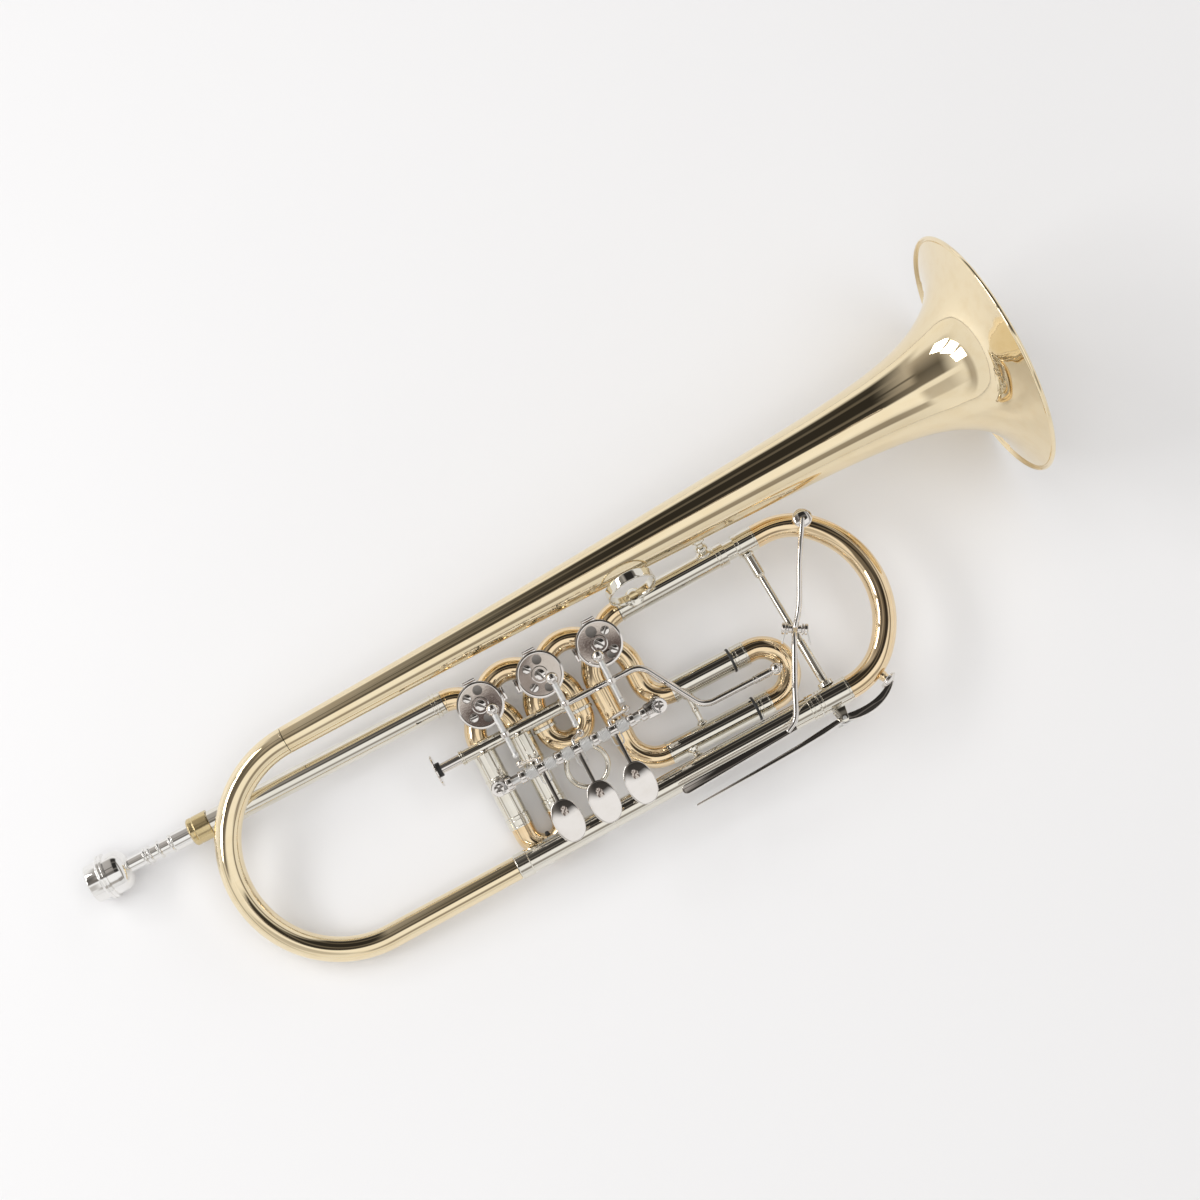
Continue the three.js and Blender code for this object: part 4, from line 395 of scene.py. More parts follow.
class Strand(Centre):
    """A centre line through places in space, smooth or as given."""

    def __init__(self, places: Iterable[Sequence[float]], smooth: int = 0) -> None:
        """Lays the line and carries its side along it without a twist.

        Args:
            places: the places, in order.
            smooth: how many pieces the curve between two places has, or 0 for straight runs.
        """
        points = [Vector(place).to_3d() for place in places]
        self.points = self._rounded(points, smooth) if smooth else points
        self.runs = [0.0]
        for one, other in zip(self.points, self.points[1:]):
            self.runs.append(self.runs[-1] + (other - one).length)
        self.run = self.runs[-1]
        last = len(self.points) - 1
        self.ways = [
            (self.points[min(index + 1, last)] - self.points[max(index - 1, 0)]).normalized()
            for index in range(last + 1)
        ]
        side = self.ways[0].orthogonal().normalized()
        self.sides = [side]
        for one, other in zip(self.ways, self.ways[1:]):
            side = one.rotation_difference(other) @ side
            side = (side - other * side.dot(other)).normalized()
            self.sides.append(side)

    @staticmethod
    def _rounded(points: list[Vector], count: int) -> list[Vector]:
        """Runs a smooth curve through points.

        Args:
            points: the points.
            count: the pieces between two of them.

        Returns:
            The curve's points.
        """
        ends = [2 * points[0] - points[1], *points, 2 * points[-1] - points[-2]]
        found: list[Vector] = []
        for a, b, c, d in zip(ends, ends[1:], ends[2:], ends[3:]):
            for step in range(count):
                t = step / count
                found.append(0.5 * (
                    2 * b + (c - a) * t + (2 * a - 5 * b + 4 * c - d) * t * t + (3 * b - a - 3 * c + d) * t ** 3
                ))
        return [*found, points[-1]]

    def frame(self, run: float) -> tuple[Vector, Vector, Vector, Vector]:
        """Returns the line's frame at a length along it.

        Args:
            run: the length.

        Returns:
            The place, the direction, the side and the upright.
        """
        index = next((place for place, far in enumerate(self.runs) if far >= run - 1e-6), len(self.runs) - 1)
        before = max(index - 1, 0)
        length = self.runs[index] - self.runs[before]
        share = (run - self.runs[before]) / length if length else 0.0
        at = self.points[before].lerp(self.points[index], share)
        way = self.ways[before].lerp(self.ways[index], share).normalized()
        side = self.sides[before].lerp(self.sides[index], share)
        side = (side - way * side.dot(way)).normalized()
        return at, way, side, way.cross(side)

    def steps(self, start: float, end: float) -> list[float]:
        """Returns the lengths of the places between two others."""
        return [run for run in self.runs if start + HAIR < run < end - HAIR]


def softened(profile: Profile, size: float) -> Profile:
    """Rounds a profile's corners.

    Args:
        profile: the profile's points, along and out from its axis.
        size: how far from a corner the rounding starts.

    Returns:
        The profile with three points in place of each corner, and one beside them where there is room, so that the
        flat part next to a rounding stays flat in the light.
    """
    if size <= 0:
        return profile
    found: Profile = []
    loop = profile[0] == profile[-1]
    last = len(profile) - 1
    for index, corner in enumerate(profile):
        if index in (0, last) and not loop:
            found.append(corner)
            continue
        here = Vector(corner)
        back = Vector(profile[index - 1 if index else last - 1]) - here
        ahead = Vector(profile[index + 1 if index < last else 1]) - here
        if not back.length or not ahead.length or (-back).angle(ahead) < math.radians(SHALLOW):
            found.append(corner)
            continue
        cut = min(size, 0.45 * back.length, 0.45 * ahead.length)
        one, other = here + back.normalized() * cut, here + ahead.normalized() * cut
        middle = (one + here * 2 + other) / 4
        if back.length > 4 * cut:
            found.append(tuple(one + back.normalized() * cut * 0.5))
        found += [tuple(one), tuple(middle), tuple(other)]
        if ahead.length > 4 * cut:
            found.append(tuple(other + ahead.normalized() * cut * 0.5))
    return found


def band(start: float, end: float, low: float, high: float) -> Profile:
    """The profile of a band that stands proud of a tube, or of a groove where high is less than low."""
    return [(start, low), (start, high), (end, high), (end, low)]


def bar(start: float, end: float, radius: float) -> Profile:
    """The profile of a plain round bar."""
    return band(start, end, 0, radius)


def ball(middle: float, radius: float, count: int) -> Profile:
    """The profile of a ball on the axis."""
    angles = [math.pi * step / count for step in range(count + 1)]
    return [(middle - radius * math.cos(angle), radius * math.sin(angle)) for angle in angles]


def arc(x: float, y: float, radius: float, start: float, end: float, count: int) -> list[tuple[float, float]]:
    """Points on a round edge, from one angle to another in degrees."""
    angles = [math.radians(start + (end - start) * step / count) for step in range(count + 1)]
    return [(x + radius * math.cos(angle), y + radius * math.sin(angle)) for angle in angles]


def bezier(
    one: Sequence[float], pull: Sequence[float], push: Sequence[float], other: Sequence[float], count: int,
) -> list[tuple[float, float]]:
    """Points of a smooth curve between two places with two handles.

    Args:
        one: the first place.
        pull: its handle.
        push: the second place's handle.
        other: the second place.
        count: how many pieces the curve has.

    Returns:
        The points, both places included.
    """
    a, b, c, d = (Vector(place) for place in (one, pull, push, other))
    found = []
    for step in range(count + 1):
        t = step / count
        at = a * (1 - t) ** 3 + b * 3 * t * (1 - t) ** 2 + c * 3 * t * t * (1 - t) + d * t ** 3
        found.append((at.x, at.y))
    return found


def spot(angle: float, reach: float) -> Vector:
    """A place round the origin, from its angle in degrees and its distance."""
    return Vector((reach * math.cos(math.radians(angle)), reach * math.sin(math.radians(angle)), 0))


def upright(x: float) -> Matrix:
    """A move that stands a plate on edge at a place along X, with its outline's numbers across and up."""
    return Matrix(((0, 0, 1, x), (1, 0, 0, 0), (0, 1, 0, 0), (0, 0, 0, 1)))


def spun(section: Iterable[Sequence[float]], axis: Sequence[float], steps: int) -> bmesh.types.BMesh:
    """Spins a section's places once round an axis through the origin.

    Args:
        section: the places, in order.
        axis: the axis.
        steps: how many faces go round.

    Returns:
        The shape.
    """
    shape = bmesh.new()
    verts = [shape.verts.new(place) for place in section]
    edges = [shape.edges.new(pair) for pair in zip(verts, verts[1:])]
    bmesh.ops.spin(
        shape, geom=verts + edges, cent=(0, 0, 0), axis=axis, dvec=(0, 0, 0), angle=2 * math.pi, steps=steps,
        use_merge=True, use_duplicate=False,
    )
    return shape


@dataclass
class Piece:
    """A piece of the scene, collected shape by shape and then made into one object.

    Args:
        name: the piece's name.
        body: the body that it rides on.
        place: from the piece's own millimetres to the row's frame.
        nodes: the solids that it replaces.
        finishes: its materials so far.
        meshes: its shapes so far.
    """

    name: str
    body: str
    place: Matrix
    nodes: tuple[str, ...] = ()
    finishes: list[Finish] = field(default_factory=list)
    meshes: list[bpy.types.Mesh] = field(default_factory=list)

    def add(self, shape: bmesh.types.BMesh, finish: Finish, move: Matrix | None = None) -> "Piece":
        """Cleans a shape and adds it to the piece.

        Args:
            shape: the shape, which is used up.
            finish: the material.
            move: where the shape goes.

        Returns:
            The piece.
        """
        if finish not in self.finishes:
            self.finishes.append(finish)
        bmesh.ops.remove_doubles(shape, verts=shape.verts[:], dist=HAIR)
        bmesh.ops.dissolve_degenerate(shape, dist=1e-5, edges=shape.edges[:])
        bmesh.ops.recalc_face_normals(shape, faces=shape.faces[:])
        if move:
            bmesh.ops.transform(shape, matrix=move, verts=shape.verts[:])
        for face in shape.faces:
            face.smooth = True
            face.material_index = self.finishes.index(finish)
        mesh = bpy.data.meshes.new(self.name)
        shape.to_mesh(mesh)
        shape.free()
        self.meshes.append(mesh)
        return self

    def sweep(self, line: Centre, profile: Profile, finish: Finish, sides: int, soft: float) -> "Piece":
        """Turns a profile straight and bends it along a centre line.

        Args:
            line: the centre line.
            profile: length along the line and radius, from one end to the other.
            finish: the material.
            sides: how many faces go round.
            soft: how far corners are rounded.

        Returns:
            The piece.
        """
        dense: Profile = []
        for (run, radius), (later, wider) in zip(profile, profile[1:]):
            dense.append((run, radius))
            low, high = min(run, later), max(run, later)
            inner = line.steps(low, high)
            for step in inner if later > run else reversed(inner):
                dense.append((step, radius + (wider - radius) * (step - run) / (later - run)))
        dense.append(profile[-1])
        shape = spun([(run, radius, 0) for run, radius in softened(dense, soft)], (1, 0, 0), sides)
        for vert in shape.verts:
            at, _, side, rise = line.frame(vert.co.x)
            vert.co = at + side * vert.co.y + rise * vert.co.z
        return self.add(shape, finish)

    def turn(
        self, at: Sequence[float], way: Sequence[float], profile: Profile, finish: Finish, sides: int, soft: float,
    ) -> "Piece":
        """Turns a profile round a straight axis.

        Args:
            at: where the axis starts.
            way: its direction.
            profile: length along the axis and radius, from one end to the other.
            finish: the material.
            sides: how many faces go round.
            soft: how far corners are rounded.

        Returns:
            The piece.
        """
        normal = Vector(way).to_3d().orthogonal()
        reach = max(run for run, _ in profile)
        least = min(run for run, _ in profile)
        start = Vector(at).to_3d() + Vector(way).to_3d().normalized() * least
        line = Route(start, way, normal).straight(reach - least)
        return self.sweep(line, [(run - least, radius) for run, radius in profile], finish, sides, soft)

    def plate(
        self, outline: Sequence[tuple[float, float]], depth: float, move: Matrix, finish: Finish, edge: float,
    ) -> "Piece":
        """Cuts a plate from an outline and rounds its edges.

        Args:
            outline: the outline's points, in order.
            depth: the plate's thickness, up from the outline.
            move: where the plate goes.
            finish: the material.
            edge: how far the edges are rounded.

        Returns:
            The piece.
        """
        shape = bmesh.new()
        foot = shape.faces.new([shape.verts.new((x, y, 0)) for x, y in outline])
        raised = bmesh.ops.extrude_face_region(shape, geom=[foot])["geom"]
        top = [item for item in raised if isinstance(item, bmesh.types.BMVert)]
        bmesh.ops.translate(shape, vec=(0, 0, depth), verts=top)
        bmesh.ops.recalc_face_normals(shape, faces=shape.faces[:])
        sharp = [one for one in shape.edges if one.calc_face_angle(0) > math.radians(35)]
        bmesh.ops.bevel(
            shape, geom=sharp, offset=edge, offset_type="OFFSET", segments=2, profile=0.5, affect="EDGES",
            material=-1, clamp_overlap=True,
        )
        return self.add(shape, finish, move)

    def wire(
        self, places: Iterable[Sequence[float]], radius: float, finish: Finish, smooth: int, sides: int,
        tip: float = 0.0,
    ) -> "Piece":
        """Lays a round rod through places.

        Args:
            places: the places.
            radius: the rod's radius.
            finish: the material.
            smooth: how many pieces the curve between two places has.
            sides: how many faces go round.
            tip: the radius at the far end, where it is thinner.

        Returns:
            The piece.
        """
        line = Strand(places, smooth)
        end = tip or radius
        profile = [(0.0, 0.0), (0.0, radius), (line.run, end), (line.run, 0.0)]
        return self.sweep(line, profile, finish, sides, min(radius, end) * 0.6)

    def screw(self, at: Sequence[float], radius: float, height: float, turn: float, slots: int = 1) -> "Piece":
        """Adds an upright screw head with one slot or a cross, over a dark grey disc that paints the shade in the
        slot.

        Args:
            at: the middle of the seat.
            radius: the head's radius.
            height: the head's height.
            turn: the slot's angle in degrees.
            slots: 1 for a slot, 2 for a cross.

        Returns:
            The piece.
        """
        base, floor = height * 0.4, height * 0.45
        self.turn(at, (0, 0, 1), bar(0, base, radius), NICKEL, 24, 0.05)
        well = radius * 0.9
        # The slot's floor is painted shade: a dark grey disc under the slot, where shade falls.
        self.turn(at, (0, 0, 1), [(0, 0), (floor, 0), (floor, well), (0, well), (0, 0)], PAINTED_SHADE, 24, 0.0)
        half = radius * 0.15
        lean = math.degrees(math.asin(half / radius))
        span = 180 / slots
        move = Matrix.Translation(Vector(at) + Vector((0, 0, base)))
        for number in range(2 * slots):
            first = turn + number * span
            outline = arc(0, 0, radius * 0.96, first + lean, first + span - lean, 14)
            if slots > 1:
                middle = math.radians(first + span / 2)
                outline.append((half * 1.5 * math.cos(middle), half * 1.5 * math.sin(middle)))
            self.plate(outline, height * 0.6, move, NICKEL, min(0.12, height * 0.25))
        return self

    def done(self) -> bpy.types.Object:
        """Makes the object, shades it, and puts it on its body.

        Returns:
            The object.
        """
        joined = bmesh.new()
        for mesh in self.meshes:
            joined.from_mesh(mesh)
            bpy.data.meshes.remove(mesh)
        bmesh.ops.transform(joined, matrix=self.place @ Matrix.Scale(MM, 4), verts=joined.verts[:])
        worn = joined.verts.layers.float.new("edge")
        for edge in joined.edges:
            angle = edge.calc_face_angle(0)
            edge.smooth = angle < math.radians(SHARP)
            if angle > math.radians(WORN):
                for vert in edge.verts:
                    vert[worn] = 1.0
        mesh = bpy.data.meshes.new(self.name)
        joined.to_mesh(mesh)
        joined.free()
        for finish in self.finishes:
            mesh.materials.append(finish.material())
        thing = bpy.data.objects.new(self.name, mesh)
        bpy.context.scene.collection.objects.link(thing)
        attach(thing, self.body)
        LOG.info("%s rides %s", self.name, self.body)
        if self.nodes:
            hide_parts(*self.nodes)
        return thing


def shared_curve(shares: Sequence[tuple[float, float]], count: int) -> list[tuple[float, float]]:
    """Samples a smooth curve through points without overshooting between them.

    Args:
        shares: the points, in order of their first number.
        count: the number of samples in each span.

    Returns:
        The samples, from the first point to the last.
    """
    slopes = [(b[1] - a[1]) / (b[0] - a[0]) for a, b in zip(shares, shares[1:])]
    tangents = [slopes[0]]
    for one, other in zip(slopes, slopes[1:]):
        tangents.append(2 * one * other / (one + other) if one * other > 0 else 0.0)
    tangents.append(slopes[-1])
    found: list[tuple[float, float]] = []
    for index, (a, b) in enumerate(zip(shares, shares[1:])):
        width = b[0] - a[0]
        for step in range(count):
            t = step / count
            value = (
                (2 * t ** 3 - 3 * t * t + 1) * a[1] + (t ** 3 - 2 * t * t + t) * width * tangents[index]
                + (3 * t * t - 2 * t ** 3) * b[1] + (t ** 3 - t * t) * width * tangents[index + 1]
            )
            found.append((a[0] + width * t, value))
    return [*found, shares[-1]]


@dataclass(frozen=True)
class Frames:
    """Where the parts of the instrument lie in the row's frame.

    Args:
        valve: the frame of the valves.
        canted: the frame of everything behind the third valve, turned a little.
        bell: the bell's own frame, with X along its axis.
        tuning: the plane of the tuning slide's two legs.
    """

    valve: Matrix
    canted: Matrix
    bell: Matrix
    tuning: Matrix

    @classmethod
    def of(cls, joints: Sequence[dict]) -> "Frames":
        """Reads the frames off the joints: the levers' axle gives X and the middle rotor Z and origin.

        Args:
            joints: the joints, as the frame gives them.

        Returns:
            The frames.
        """
        named = {joint["name"]: joint for joint in joints}
        along = Vector(named["lever_1_press"]["axis"]).normalized()
        up = Vector(named["rotor_2_turn"]["axis"]).normalized()
        across = up.cross(along).normalized()
        along = across.cross(up)
        valve = Matrix((along, across, up)).transposed().to_4x4()
        valve.translation = Vector(named["rotor_2_turn"]["pos_m"])
        canted = valve @ shift(OUTLET, PORT, 0) @ Matrix.Rotation(CANT, 4, "Z")
        bell = canted @ shift(BOW_PLACE, LOWER_LINE + 2 * BOW_RADIUS, BELL_PLANE)
        bell = bell @ Matrix.Rotation(BELL_SPLAY, 4, "Z")
        tilt = math.asin(BELL_PLANE / LEG_SPAN)
        return cls(valve, canted, bell, canted @ Matrix.Rotation(-tilt, 4, "X"))


def shift(x: float, y: float, z: float) -> Matrix:
    """A move in millimetres, for a frame that is in metres."""
    return Matrix.Translation(Vector((x, y, z)) * MM)


def behind(x: float, y: float, z: float) -> Vector:
    """A place of the canted part, in the frame of the valves."""
    return Matrix.Rotation(CANT, 3, "Z") @ Vector((x, y, z)) + Vector((OUTLET, PORT, 0))


def bell_radius(place: float) -> float:
    """The radius of the bell's outer side.

    Args:
        place: the length along the bell's axis from its narrow end.

    Returns:
        The radius there.
    """
    share = 1 - place / BELL_LENGTH
    samples = shared_curve(BELL_SHARES, BELL_SAMPLES)
    index = next(number for number, sample in enumerate(samples) if sample[0] >= share)
    (back, low), (ahead, high) = samples[max(index - 1, 0)], samples[index]
    part = (share - back) / (ahead - back) if ahead > back else 0.0
    return RIM_RADIUS * (low + (high - low) * part)


@dataclass
class Assembly:
    """A group of pieces that are built together.

    Args:
        frames: where things lie.
        solids: the solids' objects, by the names of their nodes.
    """

    frames: Frames
    solids: Solids

    def piece(self, node_name: str, body: str = "frame", place: Matrix | None = None) -> Piece:
        """Starts the piece that takes one solid's place.

        Args:
            node_name: the solid's node.
            body: the body that the solid rides on.
            place: from the piece's own millimetres to the row's frame, or nothing for the frame of the valves.

        Returns:
            The piece, still empty.
        """
        return Piece(f"fine_{node_name}", body, place or self.frames.valve, (node_name,))

    def build(self) -> None:
        """Builds every piece of the group."""
        raise NotImplementedError


@dataclass
class BellSection(Assembly):
    """The bell, its bow, the two tubes of the tuning slide, their stays and the finger ring.

    Args:
        wall: the thickness of the bell's sheet.
        bead: the radius of its rolled rim.
    """

    wall: float = 0.7
    bead: float = 1.3

    def build(self) -> None:
        """Builds the bell's side of the instrument."""
        self._bell()
        self._bow()
        self._tubes()
        self._stays()
        self._finger_ring()

    def _bell(self) -> None:
        """Builds the bell: a sheet of even thickness with a rolled rim."""
        samples = shared_curve(BELL_SHARES, BELL_SAMPLES)
        outside = [(BELL_LENGTH * (1 - back), RIM_RADIUS * share) for back, share in samples]
        inside: Profile = []
        for index, (run, radius) in enumerate(outside):
            one, other = outside[max(index - 1, 0)], outside[min(index + 1, len(outside) - 1)]
            way = (Vector(one) - Vector(other)).normalized()
            inside.append((run + self.wall * way.y, radius - self.wall * way.x))
        inside[-1] = (0.0, inside[-1][1])
        middle = RIM_RADIUS - self.bead
        roll = [
            (BELL_LENGTH + self.bead * math.sin(angle), middle + self.bead * math.cos(angle))
            for angle in (math.radians(-70 + 17.5 * step) for step in range(17))
        ]
        loop = [*reversed(outside), *roll, *inside]
        piece = self.piece("bell", place=self.frames.bell)
        piece.turn((0, 0, 0), (1, 0, 0), [*loop, loop[0]], GOLD, 144, 0.0)
        piece.done()

    def _bow(self) -> None:
        """Builds the bow from the bell's narrow end back to the lower slide tube."""
        top = Vector((BOW_PLACE, LOWER_LINE + 2 * BOW_RADIUS, BELL_PLANE))
        way = Vector((-math.cos(BELL_SPLAY), -math.sin(BELL_SPLAY), 0))
        route = Route(top + way * GAP, way).bend(BOW_RADIUS, math.pi - BELL_SPLAY).straight(LOWER_START - BOW_PLACE)
        end = route.run
        bow = self.piece("bell_bow", place=self.frames.canted)
        bow.sweep(route, [
            (0, 0), (0, 7.15), (0.9, 7.15), (0.9, 7.1), (end * 0.5, 6.55), (end, 6.05), (end, 0),
        ], GOLD, 56, 0.04)
        bow.done()

    def _tubes(self) -> None:
        """Builds the two outer tubes that the tuning slide's legs go in."""
        lower = self.piece("lower_slide_tube", place=self.frames.canted)
        joint, end = 53.9, 64.8 - LOWER_START
        lower.turn((LOWER_START, LOWER_LINE, BELL_PLANE), (1, 0, 0), [
            (GAP, 5.6), (GAP, 6.45), (GAP + 0.4, 6.7), (7, 6.7), (7.4, 6.2), *band(joint, joint + 1, 6.2, 6.4),
            (end - 4.5, 6.2), (end - 4.5, 6.75), *band(end - 3.1, end - 2.5, 6.75, 6.55), (end, 6.75), (end, 5.6),
            (GAP, 5.6),
        ], NICKEL_SILVER, 48, 0.15)
        lower.done()
        upper = self.piece("upper_slide_tube", place=self.frames.canted)
        end = 61.8 - GAP
        upper.turn((GAP, 0, 0), (1, 0, 0), [
            (0, 5.25), (0, 6.15), (1.1, 6.15), (1.1, 5.75), (end - 5.1, 5.75), (end - 5.1, 6.3),
            *band(end - 3.6, end - 3, 6.3, 6.1), (end, 6.3), (end, 5.25), (0, 5.25),
        ], NICKEL_SILVER, 48, 0.15)
        upper.done()

    def _stays(self) -> None:
        """Builds the stay to the bell and the one between the two lower tubes."""
        place = 51.8
        end = LOWER_LINE + 2 * BOW_RADIUS + (place - BOW_PLACE) * math.sin(BELL_SPLAY)
        way = Vector((0, end, BELL_PLANE))
        reach = way.length - bell_radius(place - BOW_PLACE)
        stay = self.piece("bell_stay", place=self.frames.canted)
        stay.turn((place, 0, 0), way, [
            (5.4, 0), (5.4, 4.1), (6.4, 4.0), (7.4, 2.4), (8.0, 2.1), (reach - 7.6, 2.1), (reach - 7.2, 2.9),
            (reach - 6.2, 3.5), (reach - 5.2, 3.5), (reach - 4.2, 2.9), (reach - 3.8, 2.1), (reach - 2.6, 2.1),
            (reach - 2.0, 2.6), (reach - 0.9, 4.1), (reach + 0.6, 4.1), (reach + 0.6, 0),
        ], NICKEL_SILVER, 36, 0.25)
        stay.done()
        one, other = Vector((OUTLET + 0.8, LOWER_LEG, 0)), behind(0.8, LOWER_LINE, BELL_PLANE)
        run = (other - one).length
        half = run / 2
        low = self.piece("lower_tube_stay")
        low.turn(one, other - one, [
            (5.7, 0), (5.7, 3.4), (6.6, 3.3), (7.6, 2.0), (8.1, 1.6), (half - 1, 1.6), (half - 0.6, 2.0),
            (half + 0.6, 2.0), (half + 1, 1.6), (run - 8.1, 1.6), (run - 7.6, 2.0), (run - 6.7, 3.3),
            (run - 5.8, 3.4), (run - 5.8, 0),
        ], NICKEL_SILVER, 32, 0.2)
        low.done()

    def _finger_ring(self) -> None:
        """Builds the ring for the hand and the foot that it stands on."""
        tilt = math.radians(67)
        up = Vector((0, math.cos(tilt), math.sin(tilt)))
        foot = Vector((10.3, 0, 0))
        hoop = self.piece("finger_ring", place=self.frames.canted)
        hoop.turn(foot + up * (5.75 + GAP + 13.2), Vector((1, 0, 0)).cross(up), [
            (-2.7, 12.35), (-2.7, 12.9), (-2.0, 13.2), (2.0, 13.2), (2.7, 12.9), (2.7, 12.35), (1.8, 11.9),
            (-1.8, 11.9), (-2.7, 12.35),
        ], NICKEL_SILVER, 72, 0.35)
        hoop.turn(foot, up, [(5.3, 0), (5.3, 5.2), (6.2, 5.1), (7.0, 3.4), (7.7, 2.6), (7.7, 0)],
                  NICKEL_SILVER, 36, 0.3)
        hoop.done()


@dataclass
class LeadSection(Assembly):
    """The mouthpiece, the receiver and the leadpipe.

    Args:
        visible: how much of the mouthpiece stands out of the receiver.
    """

    visible: float = 57.2

    def build(self) -> None:
        """Builds the mouthpiece, the receiver and the leadpipe."""
        self._mouthpiece()
        receiver = self.piece("mouthpiece_receiver")
        receiver.turn((LEAD_START, PORT, 0), (1, 0, 0), [
            (0, 6.35), (0, 6.7), (0.8, 7.4), (2.6, 7.4), (2.9, 7.15), (3.3, 7.15), (3.6, 7.4), (11.2, 7.4),
            (11.2, 6.35), (0, 6.35),
        ], AGED, 48, 0.15)
        receiver.done()
        pipe = self.piece("leadpipe")
        pipe.turn((LEAD_START, PORT, 0), (1, 0, 0), [
            (0, 5.35), (0, 6.05), (11.5, 6.05), (11.5, 6.35), *band(28.4, 28.9, 6.35, 6.2), (30, 6.35), (30, 6.05),
            *band(139.0, 140.0, 6.05, 6.5), *band(141.1, 142.1, 6.05, 6.5), (LEAD_LENGTH, 6.05), (LEAD_LENGTH, 4.9),
            (29, 4.9), (29, 5.35), (0, 5.35),
        ], NICKEL_SILVER, 48, 0.12)
        pipe.done()

    def _mouthpiece(self) -> None:
        """Builds the mouthpiece: rim, cup, turned rings, shank and bore in one profile."""
        wall, stem, cup_round, cup_end = 10.9, 3.85, 15.6, 22.1
        outline: Profile = [
            (1.4, 8.4), (0.55, 8.6), (0.12, 9.0), (0.0, 9.4), (0.16, 9.8), (0.7, 10.1), (1.4, 10.2), (6.6, 10.2),
            (7.2, 10.5), (8.0, wall), (8.0, 12.1), *band(9.1, 9.7, 12.1, 11.7), (11.1, 12.1), (11.1, wall),
            (cup_round, wall),
        ]
        quarter = [math.pi / 2 * step / 12 for step in range(1, 13)]
        for angle in quarter:
            run = cup_round + (cup_end - cup_round) * math.sin(angle)
            outline.append((run, stem + (wall - stem) * math.cos(angle)))
        for place in (31.3, 34, 39.4, 46):
            outline += [
                (place - 0.9, stem), (place - 0.7, 4.6), (place, 4.9), (place + 0.7, 4.6), (place + 0.9, stem),
            ]
        throat, depth = 2, 15
        outline += [(47.5, 3.9), (47.5, 5.05), (82.2, 4.6), (82.2, 3.9), (21, throat), (depth, throat)]
        for angle in quarter:
            outline.append((depth - 13.6 * math.sin(angle), throat + 6.4 * (1 - math.cos(angle)) ** 0.6))
        outline[-1] = outline[0]
        cup = self.piece("mouthpiece", "mouthpiece")
        cup.turn((LEAD_START - self.visible, PORT, 0), (1, 0, 0), outline, SILVER, 72, 0.1)
        cup.done()


